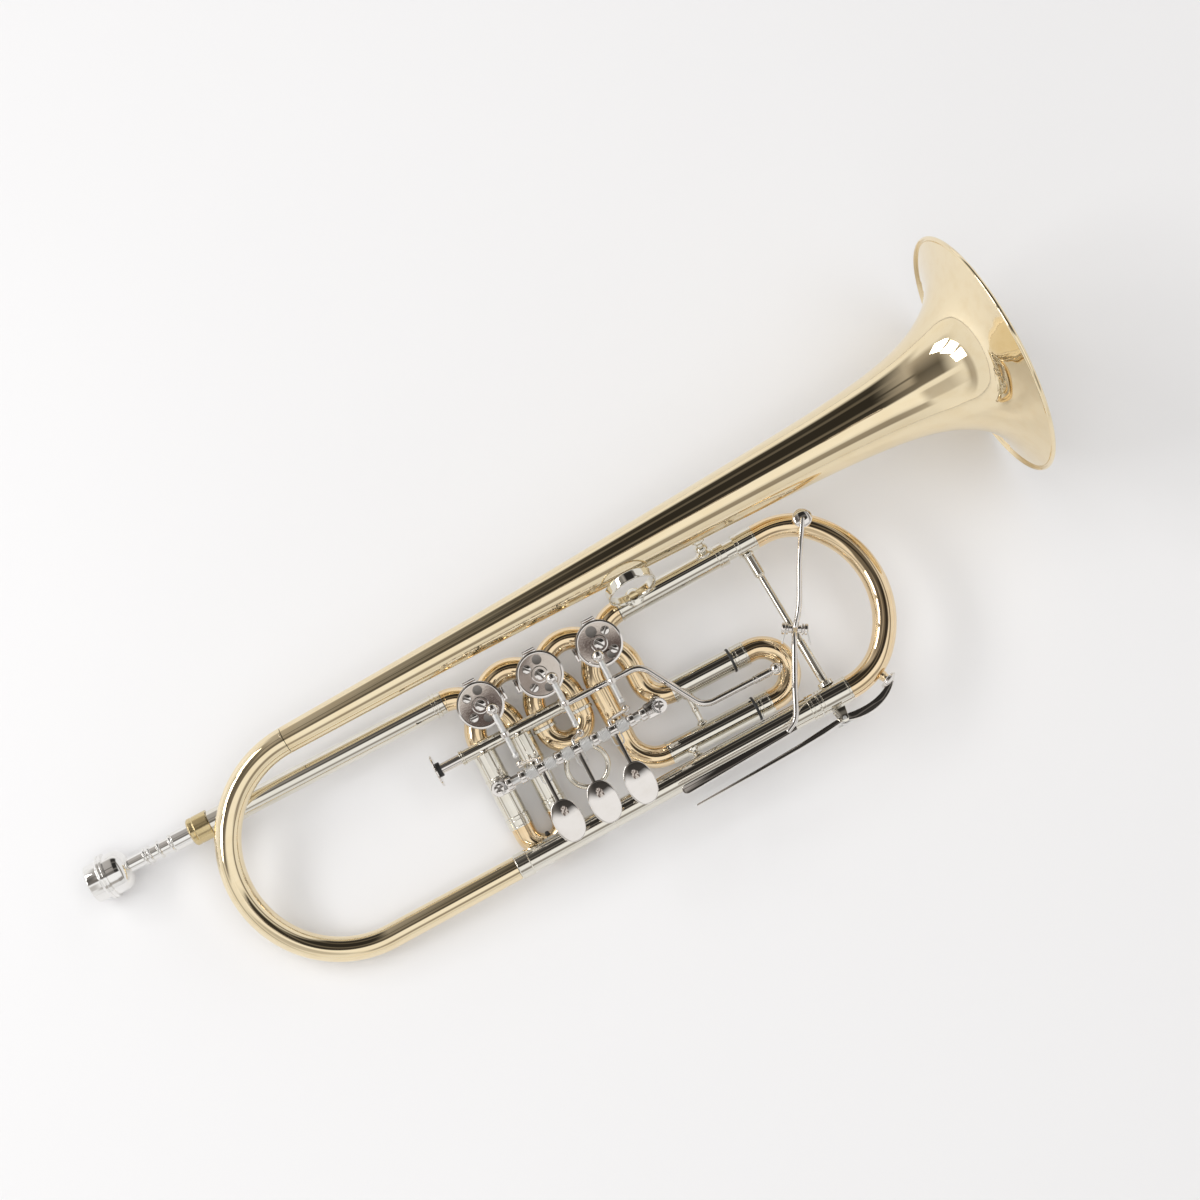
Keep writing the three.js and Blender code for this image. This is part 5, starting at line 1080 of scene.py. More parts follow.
@dataclass
class ValveBank(Assembly):
    """The casings with their caps, stop plates and stop discs, and the knuckles between them.

    Args:
        lugs: where each plate's two cork holders are, in degrees.
        wells: each disc's two round wells: angle in degrees, distance from the middle, radius.
        screws: each disc's two screws: angle in degrees, distance from the middle, the slot's angle.
        slots: the angle of the slot in each disc's middle screw.
        face: the height of the discs' faces.
    """

    lugs: tuple[tuple[int, int], ...] = ((90, 0), (90, 180), (90, 180))
    wells: tuple[tuple[Spot, Spot], ...] = (
        ((74, 7.7, 2.5), (-84, 7.3, 2.4)), ((75, 7.5, 2.5), (-80, 7.9, 2.4)), ((98, 7.1, 2.9), (-68, 8.0, 2.2)),
    )
    screws: tuple[tuple[Spot, Spot], ...] = (
        ((128, 7.5, -50), (-143, 7.2, 0)), ((133, 7.0, -52), (-139, 7.4, 35)), ((39, 7.2, 50), (-47, 8.0, -52)),
    )
    slots: tuple[int, ...] = (-52, -75, -60)
    face: float = 16.65

    def build(self) -> None:
        """Builds the knuckles and the three valves."""
        self._knuckles()
        for index, x in enumerate(VALVES):
            self._casing(index + 1, x)
            self._stop_plate(index, x)
            self._stop_disc(index, x)

    def _knuckles(self) -> None:
        """Builds the elbows at both ends of the valves and the arches between them."""
        for name, x, way in (("inlet_elbow", LEAD_END + GAP, 1), ("outlet_elbow", OUTLET, -1)):
            route = Route((x, PORT), (way, 0)).bend(KNEE_RADIUS, -way * math.pi / 4)
            route.straight(KNEE_START * math.sqrt(0.5) * 0.4)
            elbow = self.piece(name)
            elbow.sweep(route, [
                (0, 0), (0, KNUCKLE), *band(1.2, 1.6, KNUCKLE, KNUCKLE - 0.15), (route.run, KNUCKLE), (route.run, 0),
            ], ROSE, 48, 0.12)
            elbow.done()
        for number, x in enumerate(VALVES[:-1], start=1):
            route = Route((x + KNEE_START, KNEE_START), (1, 1)).bend(KNEE_RADIUS, -math.pi / 2)
            arch = self.piece(f"arch_{number}")
            arch.sweep(route, bar(0, route.run, KNUCKLE), ROSE, 48, 0.12)
            arch.done()

    def _casing(self, number: int, x: float) -> None:
        """Builds a valve's casing and bottom cap, and gives its rotor's solid a finish.

        Args:
            number: the valve's number.
            x: its rotor's place.
        """
        casing = self.piece(f"casing_{number}")
        casing.turn((x, 0, 0), (0, 0, 1), [
            (-11, 9.9), (-11, 12.1), (-9.2, 12.1), (-9.2, 11.6), *band(8.6, 9.0, 11.6, 11.45), (11, 11.6),
            (12.8, 10.8), (12.8, 2.6), (10.4, 2.6), (10.4, 9.9), (-11, 9.9),
        ], NICKEL_SILVER, 72, 0.2)
        casing.done()
        cap = self.piece(f"bottom_cap_{number}")
        top = -11.3
        cap.turn((x, 0, 0), (0, 0, 1), [
            (top - 2.6, 0), (top - 2.6, 9.9), (top, 9.9), (top, 12.2), *band(top - 1.2, top - 1.7, 12.2, 11.9),
            (top - 3.6, 12.2), (top - 5, 11.4), (top - 5, 6.4), (top - 4.3, 6.0), (top - 4.3, 2.2),
            (top - 4.8, 1.6), (top - 4.8, 0),
        ], NICKEL, 64, 0.2)
        cap.done()
        rotor = self.solids[f"rotor_{number}"]
        rotor.data.materials.clear()
        rotor.data.materials.append(NICKEL_SILVER.material())

    def _stop_plate(self, index: int, x: float) -> None:
        """Builds a valve's stop plate with its two cork holders.

        Args:
            index: the valve's number, from 0.
            x: its rotor's place.
        """
        foot, half = 13.1, 3.5
        plate = self.piece(f"stop_plate_{index + 1}")
        plate.turn((x, 0, 0), (0, 0, 1), [*band(foot, 14.2, 2.6, 12.2), (foot, 2.6)], NICKEL, 64, 0.15)
        for angle in self.lugs[index]:
            move = Matrix.Translation((x, 0, foot)) @ Matrix.Rotation(math.radians(angle), 4, "Z")
            for low, high, side, height, lift, finish, edge in (
                (10.8, 13.85, half, 1.1, 0, NICKEL, 0.15), (12.75, 13.85, half, 4.6, 0, NICKEL, 0.25),
                (12.28, 12.8, 2.6, 3.9, 0.5, CORK, 0.12),
            ):
                outline = [(low, -side), (high, -side), (high, side), (low, side)]
                plate.plate(outline, height, move @ Matrix.Translation((0, 0, lift)), finish, edge)
        plate.done()

    def _stop_disc(self, index: int, x: float) -> None:
        """Builds a valve's stop disc with its wells, whose floors are painted shade, its screws and its ball.

        Args:
            index: the valve's number, from 0.
            x: its rotor's place.
        """
        disc = self.piece(f"stop_disc_{index + 1}", f"rotor_{index + 1}")
        disc.turn((x, 0, 0), (0, 0, 1), [
            (14.5, 2.6), (14.5, 11.95), (17.2, 11.95), (17.2, 10.65), (16.6, 10.65), (16.6, 10.75), (15.6, 10.75),
            (15.6, 4.4), (17.4, 4.4), (17.4, 2.6), (17.0, 2.6), (17.0, 0), (16.7, 0), (16.7, 2.6), (14.5, 2.6),
        ], NICKEL, 72, 0.35)
        holes = [(spot(angle, reach), radius, 0.95) for angle, reach, radius in self.wells[index]]
        holes += [(spot(angle, reach), 2.35, 0.3) for angle, reach, _ in self.screws[index]]
        self._pierced(disc, x, holes)
        # Each well's floor is painted shade: a dark grey dish sunk below the face, where shade falls.
        for hole, radius, depth in holes:
            disc.turn((x + hole.x, hole.y, self.face - depth), (0, 0, 1), [
                (-0.05, 0), (-0.05, radius), (0.12, radius), (0.05, radius * 0.75), (0.0, radius * 0.4), (0.0, 0),
            ], PAINTED_SHADE, 32, 0.02)
        disc.screw((x, 0, 17.0), 2.9, 0.5, self.slots[index])
        for angle, reach, turn in self.screws[index]:
            hole = spot(angle, reach)
            disc.screw((x + hole.x, hole.y, 16.3), 2.15, 0.4, turn)
        pin = Vector((x, 0, 0)) + spot(*CRANKS[index])
        disc.turn(pin, (0, 0, 1), [
            (16.5, 0), (16.5, 2.4), (17.1, 2.4), (17.4, 1.5), (19.4, 1.5), (19.8, 1.15),
            *ball(BALL_HEIGHT, 1.7, 10)[2:],
        ], NICKEL, 28, 0.1)
        disc.done()

    def _pierced(self, piece: Piece, x: float, holes: list[tuple[Vector, float, float]]) -> None:
        """Fills a disc's face between its hub and its rim, with round wells sunk in it.

        Args:
            piece: the disc.
            x: the rotor's place.
            holes: the middle, radius and depth of each well.
        """
        shape = bmesh.new()
        loops: list[list[bmesh.types.BMEdge]] = []
        rounds = [(Vector((0, 0, 0)), 10.72, 72), (Vector((0, 0, 0)), 4.3, 40)]
        for centre, radius, count in (*rounds, *((hole, radius, 32) for hole, radius, _ in holes)):
            verts = [
                shape.verts.new((centre.x + radius * math.cos(a), centre.y + radius * math.sin(a), self.face))
                for a in (2 * math.pi * step / count for step in range(count))
            ]
            loops.append([shape.edges.new(pair) for pair in zip(verts, verts[1:] + verts[:1])])
        bmesh.ops.triangle_fill(shape, use_beauty=True, use_dissolve=False, edges=shape.edges[:], normal=(0, 0, 1))
        for loop, (_, _, depth) in zip(loops[2:], holes):
            grown = bmesh.ops.extrude_edge_only(shape, edges=loop)["geom"]
            verts = [item for item in grown if isinstance(item, bmesh.types.BMVert)]
            bmesh.ops.translate(shape, vec=(0, 0, -depth), verts=verts)
        piece.add(shape, NICKEL, Matrix.Translation((x, 0, 0)))


@dataclass
class LeverWork(Assembly):
    """The connecting rods, the finger levers with their springs, their axle and their rail.

    Args:
        axle: the axle's place across and up.
        places: where each lever sits along the axle.
        reach: how far each lever's ball is past the axle.
        drop: how far it is below the axle.
        paddle: how far the paddle's middle is before the axle.
        lift: how far it is above the axle.
        paddle_size: half its width and half its length.
    """

    axle: tuple[float, float] = (-40.8, 39.0)
    places: tuple[float, ...] = (-20.6, -0.7, 19.4)
    reach: float = 5.6
    drop: float = 18.0
    paddle: float = -29
    lift: float = 2.4
    paddle_size: tuple[float, float] = (7.4, 11.1)

    def build(self) -> None:
        """Builds the three linkages, the axle and the rail."""
        for index, place in enumerate(self.places):
            pin = Vector((VALVES[index], 0, BALL_HEIGHT)) + spot(*CRANKS[index])
            self._rod(index + 1, pin)
            self._lever(index + 1, place, pin.x - place)
            self._spring(index + 1, place)
        self._axle()
        self._rail()

    def _rod(self, number: int, pin: Vector) -> None:
        """Builds a connecting rod: the cup over the disc's ball, the shank, its nut and the thinner end.

        Args:
            number: the valve's number.
            pin: the middle of the disc's ball.
        """
        length = pin.y - (self.axle[0] + self.reach) - 2.9 - 1
        rod = self.piece(f"connecting_rod_{number}", f"rod_{number}")
        rod.turn(pin, (0, 0, 1), [
            (-1.9, 2.1), (-1.9, 2.7), (-1.2, 3.08), (-0.3, 3.25), (0.5, 3.2), (1.2, 2.95), (1.8, 2.45), (2.3, 1.75),
            (2.6, 0.95), (2.7, 0), (1.95, 0), (1.8, 1.4), (1.2, 2.1), (-1.9, 2.1),
        ], NICKEL, 48, 0.05)
        rod.turn(pin, (0, -1, 0), [
            (2.7, 0), (2.7, 1.65), (12.3, 1.65), (12.8, 1.45), (12.8, 1.2), (13.1, 1.2), (15.1, 1.2),
            (15.1, 1.4), (length - 2.2, 1.4), (length - 1.8, 1.75), (length - 0.3, 1.75), (length + 0.3, 1.4),
            (length + 0.6, 0.6), (length + 0.6, 0),
        ], SATIN, 28, 0.1)
        move = Matrix.Translation(pin + Vector((0, -12.9, 0))) @ Matrix.Rotation(math.pi / 2, 4, "X")
        rod.plate(arc(0, 0, 2.55, 30, 330, 5), 2.6, move, NICKEL, 0.2)
        rod.done()

    def _lever(self, number: int, place: float, ball_x: float) -> None:
        """Builds a finger lever: its hub, its arm, its paddle and the wire that carries its ball.

        Args:
            number: the valve's number.
            place: the lever's place along the axle.
            ball_x: how far its ball is from it along the axle.
        """
        lever = self.piece(f"finger_lever_{number}", f"lever_{number}", self.frames.valve @ shift(place, *self.axle))
        hub, neck = 1.95, 1.2
        lever.turn((0, 0, 0), (1, 0, 0), [
            (-hub, 1.8), (-hub, 2.9), *band(-neck, neck, 2.9, 2.7), (hub, 2.9), (hub, 1.8), (-hub, 1.8),
        ], NICKEL, 40, 0.15)
        end, half = self.paddle + self.paddle_size[1] / 2, 1.05
        upper = bezier((-1.2, half), (end / 3, half), (end / 2, self.lift), (end, self.lift + 0.3), 12)
        lower = bezier((end, self.lift - 0.75), (end / 2, self.lift - 2.1), (end / 3, -half), (-1.2, -half), 12)
        lever.plate([*upper, *lower], 2.0, upright(-1.0), NICKEL, 0.3)
        self._paddle(lever, Vector((0, self.paddle, self.lift)))
        lever.wire([
            (0, 1.6, 0), (0, 4.3, -0.9), (ball_x * 0.15, self.reach - 0.6, -3.4),
            (ball_x * 0.6, self.reach - 0.2, -7), (ball_x * 0.95, self.reach, -10.5),
            (ball_x, self.reach, 1.8 - self.drop),
        ], 0.95, NICKEL, 8, 20)
        lever.turn((ball_x, self.reach, -self.drop), (0, 0, 1), ball(0, 2.2, 20), NICKEL, 36, 0.0)
        lever.done()

    def _paddle(self, lever: Piece, middle: Vector) -> None:
        """Adds the dished oval plate that the finger rests on.

        Args:
            lever: the piece that it is part of.
            middle: its middle.
        """
        section = [
            (0.0, 0.75), (0.2, 0.73), (0.4, 0.67), (0.6, 0.57), (0.8, 0.42), (0.9, 0.33), (0.96, 0.25), (0.985, 0.15),
            (1.0, -0.05), (0.99, -0.25), (0.96, -0.34), (0.8, -0.45), (0.5, -0.65), (0.25, -0.73), (0.0, -0.75),
        ]
        shape = spun([(share, 0, height) for share, height in section], (0, 0, 1), 72)
        fullness = 2.25
        for vert in shape.verts:
            flat = math.hypot(vert.co.x, vert.co.y)
            if flat > 1e-9:
                one, other = abs(vert.co.x) / flat, abs(vert.co.y) / flat
                grow = (one ** fullness + other ** fullness) ** (-1 / fullness)
                vert.co.x *= self.paddle_size[0] * grow
                vert.co.y *= self.paddle_size[1] * grow
        lever.add(shape, NICKEL, Matrix.Translation(middle))

    def _spring(self, number: int, place: float) -> None:
        """Builds a lever's spring: one wire with a coil on either side and a hook between them.

        Args:
            number: the valve's number.
            place: the lever's place along the axle.
        """
        spring = self.piece(f"lever_spring_{number}", f"lever_{number}", self.frames.valve @ shift(place, *self.axle))
        start, pitch, curls, radius, steps = 2.5, 0.72, 7, 3.05, 24
        end = start + curls * pitch
        half = [Vector((end, -1.6, -radius)), Vector((end, -0.8, -radius))]
        for step in range(curls * steps - steps // 4 + 1):
            angle = -math.pi / 2 + 2 * math.pi * step / steps
            half.append(Vector((end - pitch * step / steps, radius * math.cos(angle), radius * math.sin(angle))))
        half += Strand([
            half[-1], (start, -3.9, -1.2), (start, -6.4, -1.75), (start - 0.8, -8.0, -1.75), (0, -8.0, -1.75),
        ], 6).points[1:]
        other = [Vector((-at.x, at.y, at.z)) for at in reversed(half[:-1])]
        line = Strand([*half, *other])
        spring.sweep(line, bar(0, line.run, 0.34), SATIN, 10, 0.15)
        spring.done()

    def _axle(self) -> None:
        """Builds the levers' axle."""
        axle = self.piece("lever_axle")
        axle.turn((0, *self.axle), (1, 0, 0), [
            (-39.2, 0), (-39.2, 1.5), (-38.7, 1.5), (-38.7, 1.4), (37.2, 1.4), (37.2, 0),
        ], SATIN, 32, 0.1)
        axle.done()

    def _rail(self) -> None:
        """Builds the rail: its plate, the axle's bearings, and the posts and feet that it stands on."""
        rail = self.piece("lever_rail")
        y, z = self.axle
        top, foot, left, right = 34.95, 33.35, -43.8, 45
        seat = Matrix.Translation((0, 0, foot))
        outline = [(left, y - 2.5), (right, y - 2.5), (right, y + 2.5), (left, y + 2.5)]
        rail.plate(outline, top - foot, seat, NICKEL, 0.35)
        for x, side in ((left, 1), (right, -1)):
            rail.plate([
                (x, y + 4), (x, y - 4), (x + side * 6.8, y - 4), (x + side * 8, y - 2.8), (x + side * 8, y + 2.8),
                (x + side * 6.8, y + 4),
            ], top - foot, seat, NICKEL, 0.35)
        bearing = 3.2
        for x, width in (*((x, 3.2) for x in (-30.7, -10.7, 9.2, 29.4)), (-38, 3.0), (35.8, 3.0)):
            shape = [(y - bearing, top - 0.5), (y + bearing, top - 0.5), *arc(y, z, bearing, 0, 180, 16)]
            rail.plate(shape, width, upright(x - width / 2), NICKEL, 0.3)
        for x, slot in ((left, 30), (right, -20)):
            rail.turn((x, y, 0), (0, 0, 1), [
                (5.2, 0), (5.2, 4.2), (7.4, 4.2), (8.1, 3.6), (8.4, 2.6), (18, 2.6), (18.4, 3.0), (19.4, 3.0),
                (19.8, 2.6), (foot - 0.8, 2.6), (foot, 3.3), (foot, 4), (top, 4), (top, 0),
            ], NICKEL, 48, 0.25)
            rail.screw((x, y, top - 0.05), 2.5, 0.7, slot, 2)
        for x in (VALVES[0] + PORT, VALVES[2] - PORT):
            rail.turn((x, y, 0), (0, 0, 1), [
                (5.2, 0), (5.2, 5.0), (7.6, 5.0), (8.2, 4.6), (12, 3.9), (20, 3.2), (foot - 0.4, 2.6),
                (foot + 0.2, 2.6), (foot + 0.2, 0),
            ], NICKEL, 40, 0.25)
        rail.done()


@dataclass
class ValveSlides(Assembly):
    """The tubes under the valves and the slides that close them.

    Args:
        first_end: how far the first valve's tubes reach from the rotors' line.
        second_end: how far the second valve's do.
        third_end: where the third valve's tubes end, along the instrument.
    """

    first_end: float = 58.0
    second_end: float = 24.4
    third_end: float = 91.0

    def build(self) -> None:
        """Builds the valves' tubes, their three slides and the third slide's brace."""
        for label, side in (("left", -1), ("right", 1)):
            route = self._knee(VALVES[0], side)
            knee = route.run
            route.straight(self.first_end - ELBOW_REACH)
            self._tube(f"first_valve_tube_{label}", route, [knee, knee + 36.2 - ELBOW_REACH], 34.3, NICKEL_SILVER)
            route = self._knee(VALVES[1], side)
            knee = route.run
            route.straight(self.second_end - ELBOW_REACH)
            self._tube(f"second_valve_tube_{label}", route, [knee], 7.1, ROSE)
        for label, side, radius, line in (("lower", -1, 16.8, LOWER_LEG), ("upper", 1, 11.7, UPPER_LEG)):
            route = self._knee(VALVES[2], side).straight(-line - radius - ELBOW_REACH).bend(radius, math.pi / 2)
            turned = route.run
            route.straight(self.third_end - (VALVES[2] + side * PORT) - radius)
            self._tube(f"third_valve_tube_{label}", route, [turned], 25.3, NICKEL_SILVER, RUBBER)
        self._hanging("first_slide", VALVES[0], self.first_end, 6.2, 68.9, 24, SLIDE_BOW)
        self._hanging("second_slide", VALVES[1], self.second_end, 1.6, 27, 17.6, 5.6)
        self._third_slide()
        self._brace()

    @staticmethod
    def _knee(x: float, side: int) -> Route:
        """The bend under a valve's port, to one side of the rotor."""
        start = (x + side * KNEE_START, -KNEE_START)
        return Route(start, (side, -1)).bend(KNEE_RADIUS, -side * math.pi / 4)

    def _tube(
        self, name: str, route: Route, rings: list[float], bore: float, after: Finish, ending: Finish | None = None,
    ) -> None:
        """Builds a valve's outer slide tube behind its knee.

        Args:
            name: the solid's node.
            route: the tube's centre line.
            rings: where along it a ring sits, the first at the knee's end.
            bore: how deep the slide's leg goes in.
            after: the material past the knee.
            ending: the material of a ring round the tube's mouth, where there is one.
        """
        end, first = route.run, rings[0]
        outline: Profile = [(first, 0)]
        for start in rings:
            outline += band(start, start + 1.1, SLIDE_TUBE, SLIDE_TUBE + 0.3)
        outline += [(end, SLIDE_TUBE), (end, SLIDE_BORE), (end - bore, SLIDE_BORE), (end - bore, 0)]
        tube = self.piece(name)
        tube.sweep(route, bar(0, first, KNUCKLE), ROSE, 48, 0.0)
        tube.sweep(route, outline, after, 48, 0.12)
        if ending:
            tube.sweep(route, [
                (end - 1.9, 6.0), (end - 1.9, 6.35), (end - 1.2, 6.62), (end - 0.5, 6.35), (end - 0.5, 6.0),
                (end - 1.9, 6.0),
            ], ending, 48, 0.2)
        tube.done()

    @staticmethod
    def _slide(piece: Piece, route: Route, first: float, length: float, radius: float) -> None:
        """Adds a slide's two legs with their ferrules, and the bow between them.

        Args:
            piece: the piece that they are part of.
            route: the slide's centre line.
            first: where the first ferrule starts.
            length: the ferrules' length.
            radius: the bow's radius.
        """
        end, last, groove = route.run, first + length, FERRULE - 0.2
        leg: Profile = [(0, 0), (0, SLIDE_LEG), (first, SLIDE_LEG), (first, FERRULE)]
        if length > 3:
            leg += band(first + 1.4, first + 1.9, FERRULE, groove) + band(last - 1.3, last - 0.9, FERRULE, groove)
        leg += [(last, FERRULE), (last, 0)]
        piece.sweep(route, leg, NICKEL_SILVER, 48, 0.1)
        piece.sweep(route, [(end - run, wide) for run, wide in reversed(leg)], NICKEL_SILVER, 48, 0.1)
        piece.sweep(route, bar(last, end - last, radius), ROSE, 48, 0.0)

    def _hanging(
        self, name: str, x: float, tube_end: float, ferrule: float, centre: float, leg: float, radius: float,
    ) -> None:
        """Builds a slide that hangs under its valve.

        Args:
            name: the solid's node, which is also its body.
            x: the valve's place.
            tube_end: where the outer tubes end.
            ferrule: the ferrules' length.
            centre: how far the bow's centre is from the rotors' line.
            leg: where the legs start.
            radius: the bow's radius.
        """
        route = Route((x - PORT, -leg), (0, -1)).straight(centre - leg).bend(PORT, math.pi).straight(centre - leg)
        slide = self.piece(name, name)
        self._slide(slide, route, tube_end + GAP - leg, ferrule, radius)
        bottom = -centre - PORT
        if name == "second_slide":
            wire = 1.4
            slide.turn((x, bottom - 15.3, 4), (0, 0, 1), [
                (wire * math.sin(angle), 10.6 + wire * math.cos(angle))
                for angle in (2 * math.pi * step / 16 for step in range(17))
            ], NICKEL_SILVER, 72, 0.0)
            slide.turn((x, bottom - 3.4, 2.0), (0, 0.9, -0.35), [
                (-1.6, 0), (-1.6, 1.5), (-0.4, 1.9), (1.4, 1.6), (2.6, 2.3), (2.6, 0),
            ], NICKEL, 28, 0.2)
        else:
            slide.turn((x - 0.4, -centre - 4.6, 3.0), (0, 0.7, 0.7), [
                (-1.0, 0), (-1.0, 1.2), (0.5, 1.2), (0.8, 0.9), (0.8, 0),
            ], RUBBER, 24, 0.15)
        slide.done()

    def _third_slide(self) -> None:
        """Builds the third slide, which lies along the instrument."""
        start, centre = 66, 100.7
        route = Route((start, UPPER_LEG), (1, 0)).straight(centre - start)
        route.bend((UPPER_LEG - LOWER_LEG) / 2, -math.pi).straight(centre - start)
        slide = self.piece("third_slide", "third_slide")
        self._slide(slide, route, self.third_end + GAP - start, 7, SLIDE_BOW)
        slide.done()

    def _brace(self) -> None:
        """Builds the brace between the third slide's two outer tubes."""
        gap, foot = UPPER_LEG - LOWER_LEG, SLIDE_TUBE - 0.4
        half: Profile = [
            (foot, 0), (foot, 3.0), (foot + 0.9, 2.9), (foot + 1.7, 1.9), (foot + 2.0, 1.5), (gap / 2 - 1, 1.5),
            (gap / 2 - 0.6, 1.8),
        ]
        brace = self.piece("third_slide_brace")
        brace.turn((62, UPPER_LEG, 0), (0, -1, 0), [*half, *((gap - run, wide) for run, wide in reversed(half))],
                   NICKEL_SILVER, 32, 0.2)
        brace.done()


@dataclass
class Trigger(Assembly):
    """The third slide's push rod and the guide tube that it runs in.

    Args:
        line: the rod's place across.
        height: its place above the tubes' plane.
        start: where the finger disc is, along the instrument.
        ball_place: where the rod's ball is.
    """

    line: float = -19.4
    height: float = SLIDE_TUBE + 0.3 + 3.5 + GAP
    start: float = -69.2
    ball_place: float = 107

    def build(self) -> None:
        """Builds the guide tube and the rod."""
        self._guide()
        self._rod()

    def _guide(self) -> None:
        """Builds the guide tube with a collar at either end."""
        guide = self.piece("trigger_guide")
        length, wall, collar, bore = 58.5, 3.5, 4.0, 3.05
        guide.turn((-55, self.line, self.height), (1, 0, 0), [
            (0, bore), (0, collar), *band(0.9, 1.2, collar, 3.75), (2, collar), (2, wall), (length - 2, wall),
            (length - 2, collar), (length, collar), (length, 2.05), (length - 2, 2.05), (length - 2, bore), (0, bore),
        ], NICKEL_SILVER, 40, 0.15)
        guide.done()

    def _rod(self) -> None:
        """Builds the rod: disc, bumper, plunger, bent rod with a sleeve, ball and stud."""
        drop = self.line - (UPPER_LEG + LOWER_LEG) / 2
        bend, angle = 9.6, math.radians(60)
        slope = (drop - 2 * bend * (1 - math.cos(angle))) / math.sin(angle)
        route = Route((self.start, self.line, self.height), (1, 0, 0)).straight(41.4 - self.start).bend(bend, -angle)
        route.straight(slope).bend(bend, angle)
        route.straight(self.ball_place - route.at.x)
        end = route.run
        rod = self.piece("trigger_rod", "third_slide")
        rod.sweep(route, [(0, 0), (0, 7.9), (0.35, 8.6), (1.2, 8.6), (1.2, 3.2), (1.2, 0)], NICKEL, 56, 0.2)
        rod.sweep(route, bar(1.15, 3.2, 3.8), RUBBER, 36, 0.3)
        plunger = -44 - self.start
        sleeve, sleeve_end = end - (self.ball_place - 94.4), end - (self.ball_place - 103.5)
        wide, thin = 2.1, 1.75
        rod.sweep(route, [
            (3.1, 0), (3.1, 2.75), (plunger, 2.75), (plunger + 0.6, thin), (sleeve, thin), (sleeve, wide),
            *band(sleeve + 1.2, sleeve + 1.7, wide, 1.9), (sleeve_end, wide), (sleeve_end, thin), (end, thin),
            (end, 0),
        ], NICKEL, 28, 0.12)
        at = Vector((self.ball_place, self.line - drop, self.height))
        rod.turn(at, (1, 0, 0), [*ball(0, 3.2, 20)[:-4], (2.9, 1.7), (3.0, 0)], NICKEL, 40, 0.08)
        way = Vector((112, self.line - drop, 0)) - at
        rod.turn(at, way, [(1, 0), (1, 1.6), (4.6, 1.6), (5.0, 2.1), (6.2, 2.1), (6.2, 0)], NICKEL, 28, 0.15)
        rod.done()


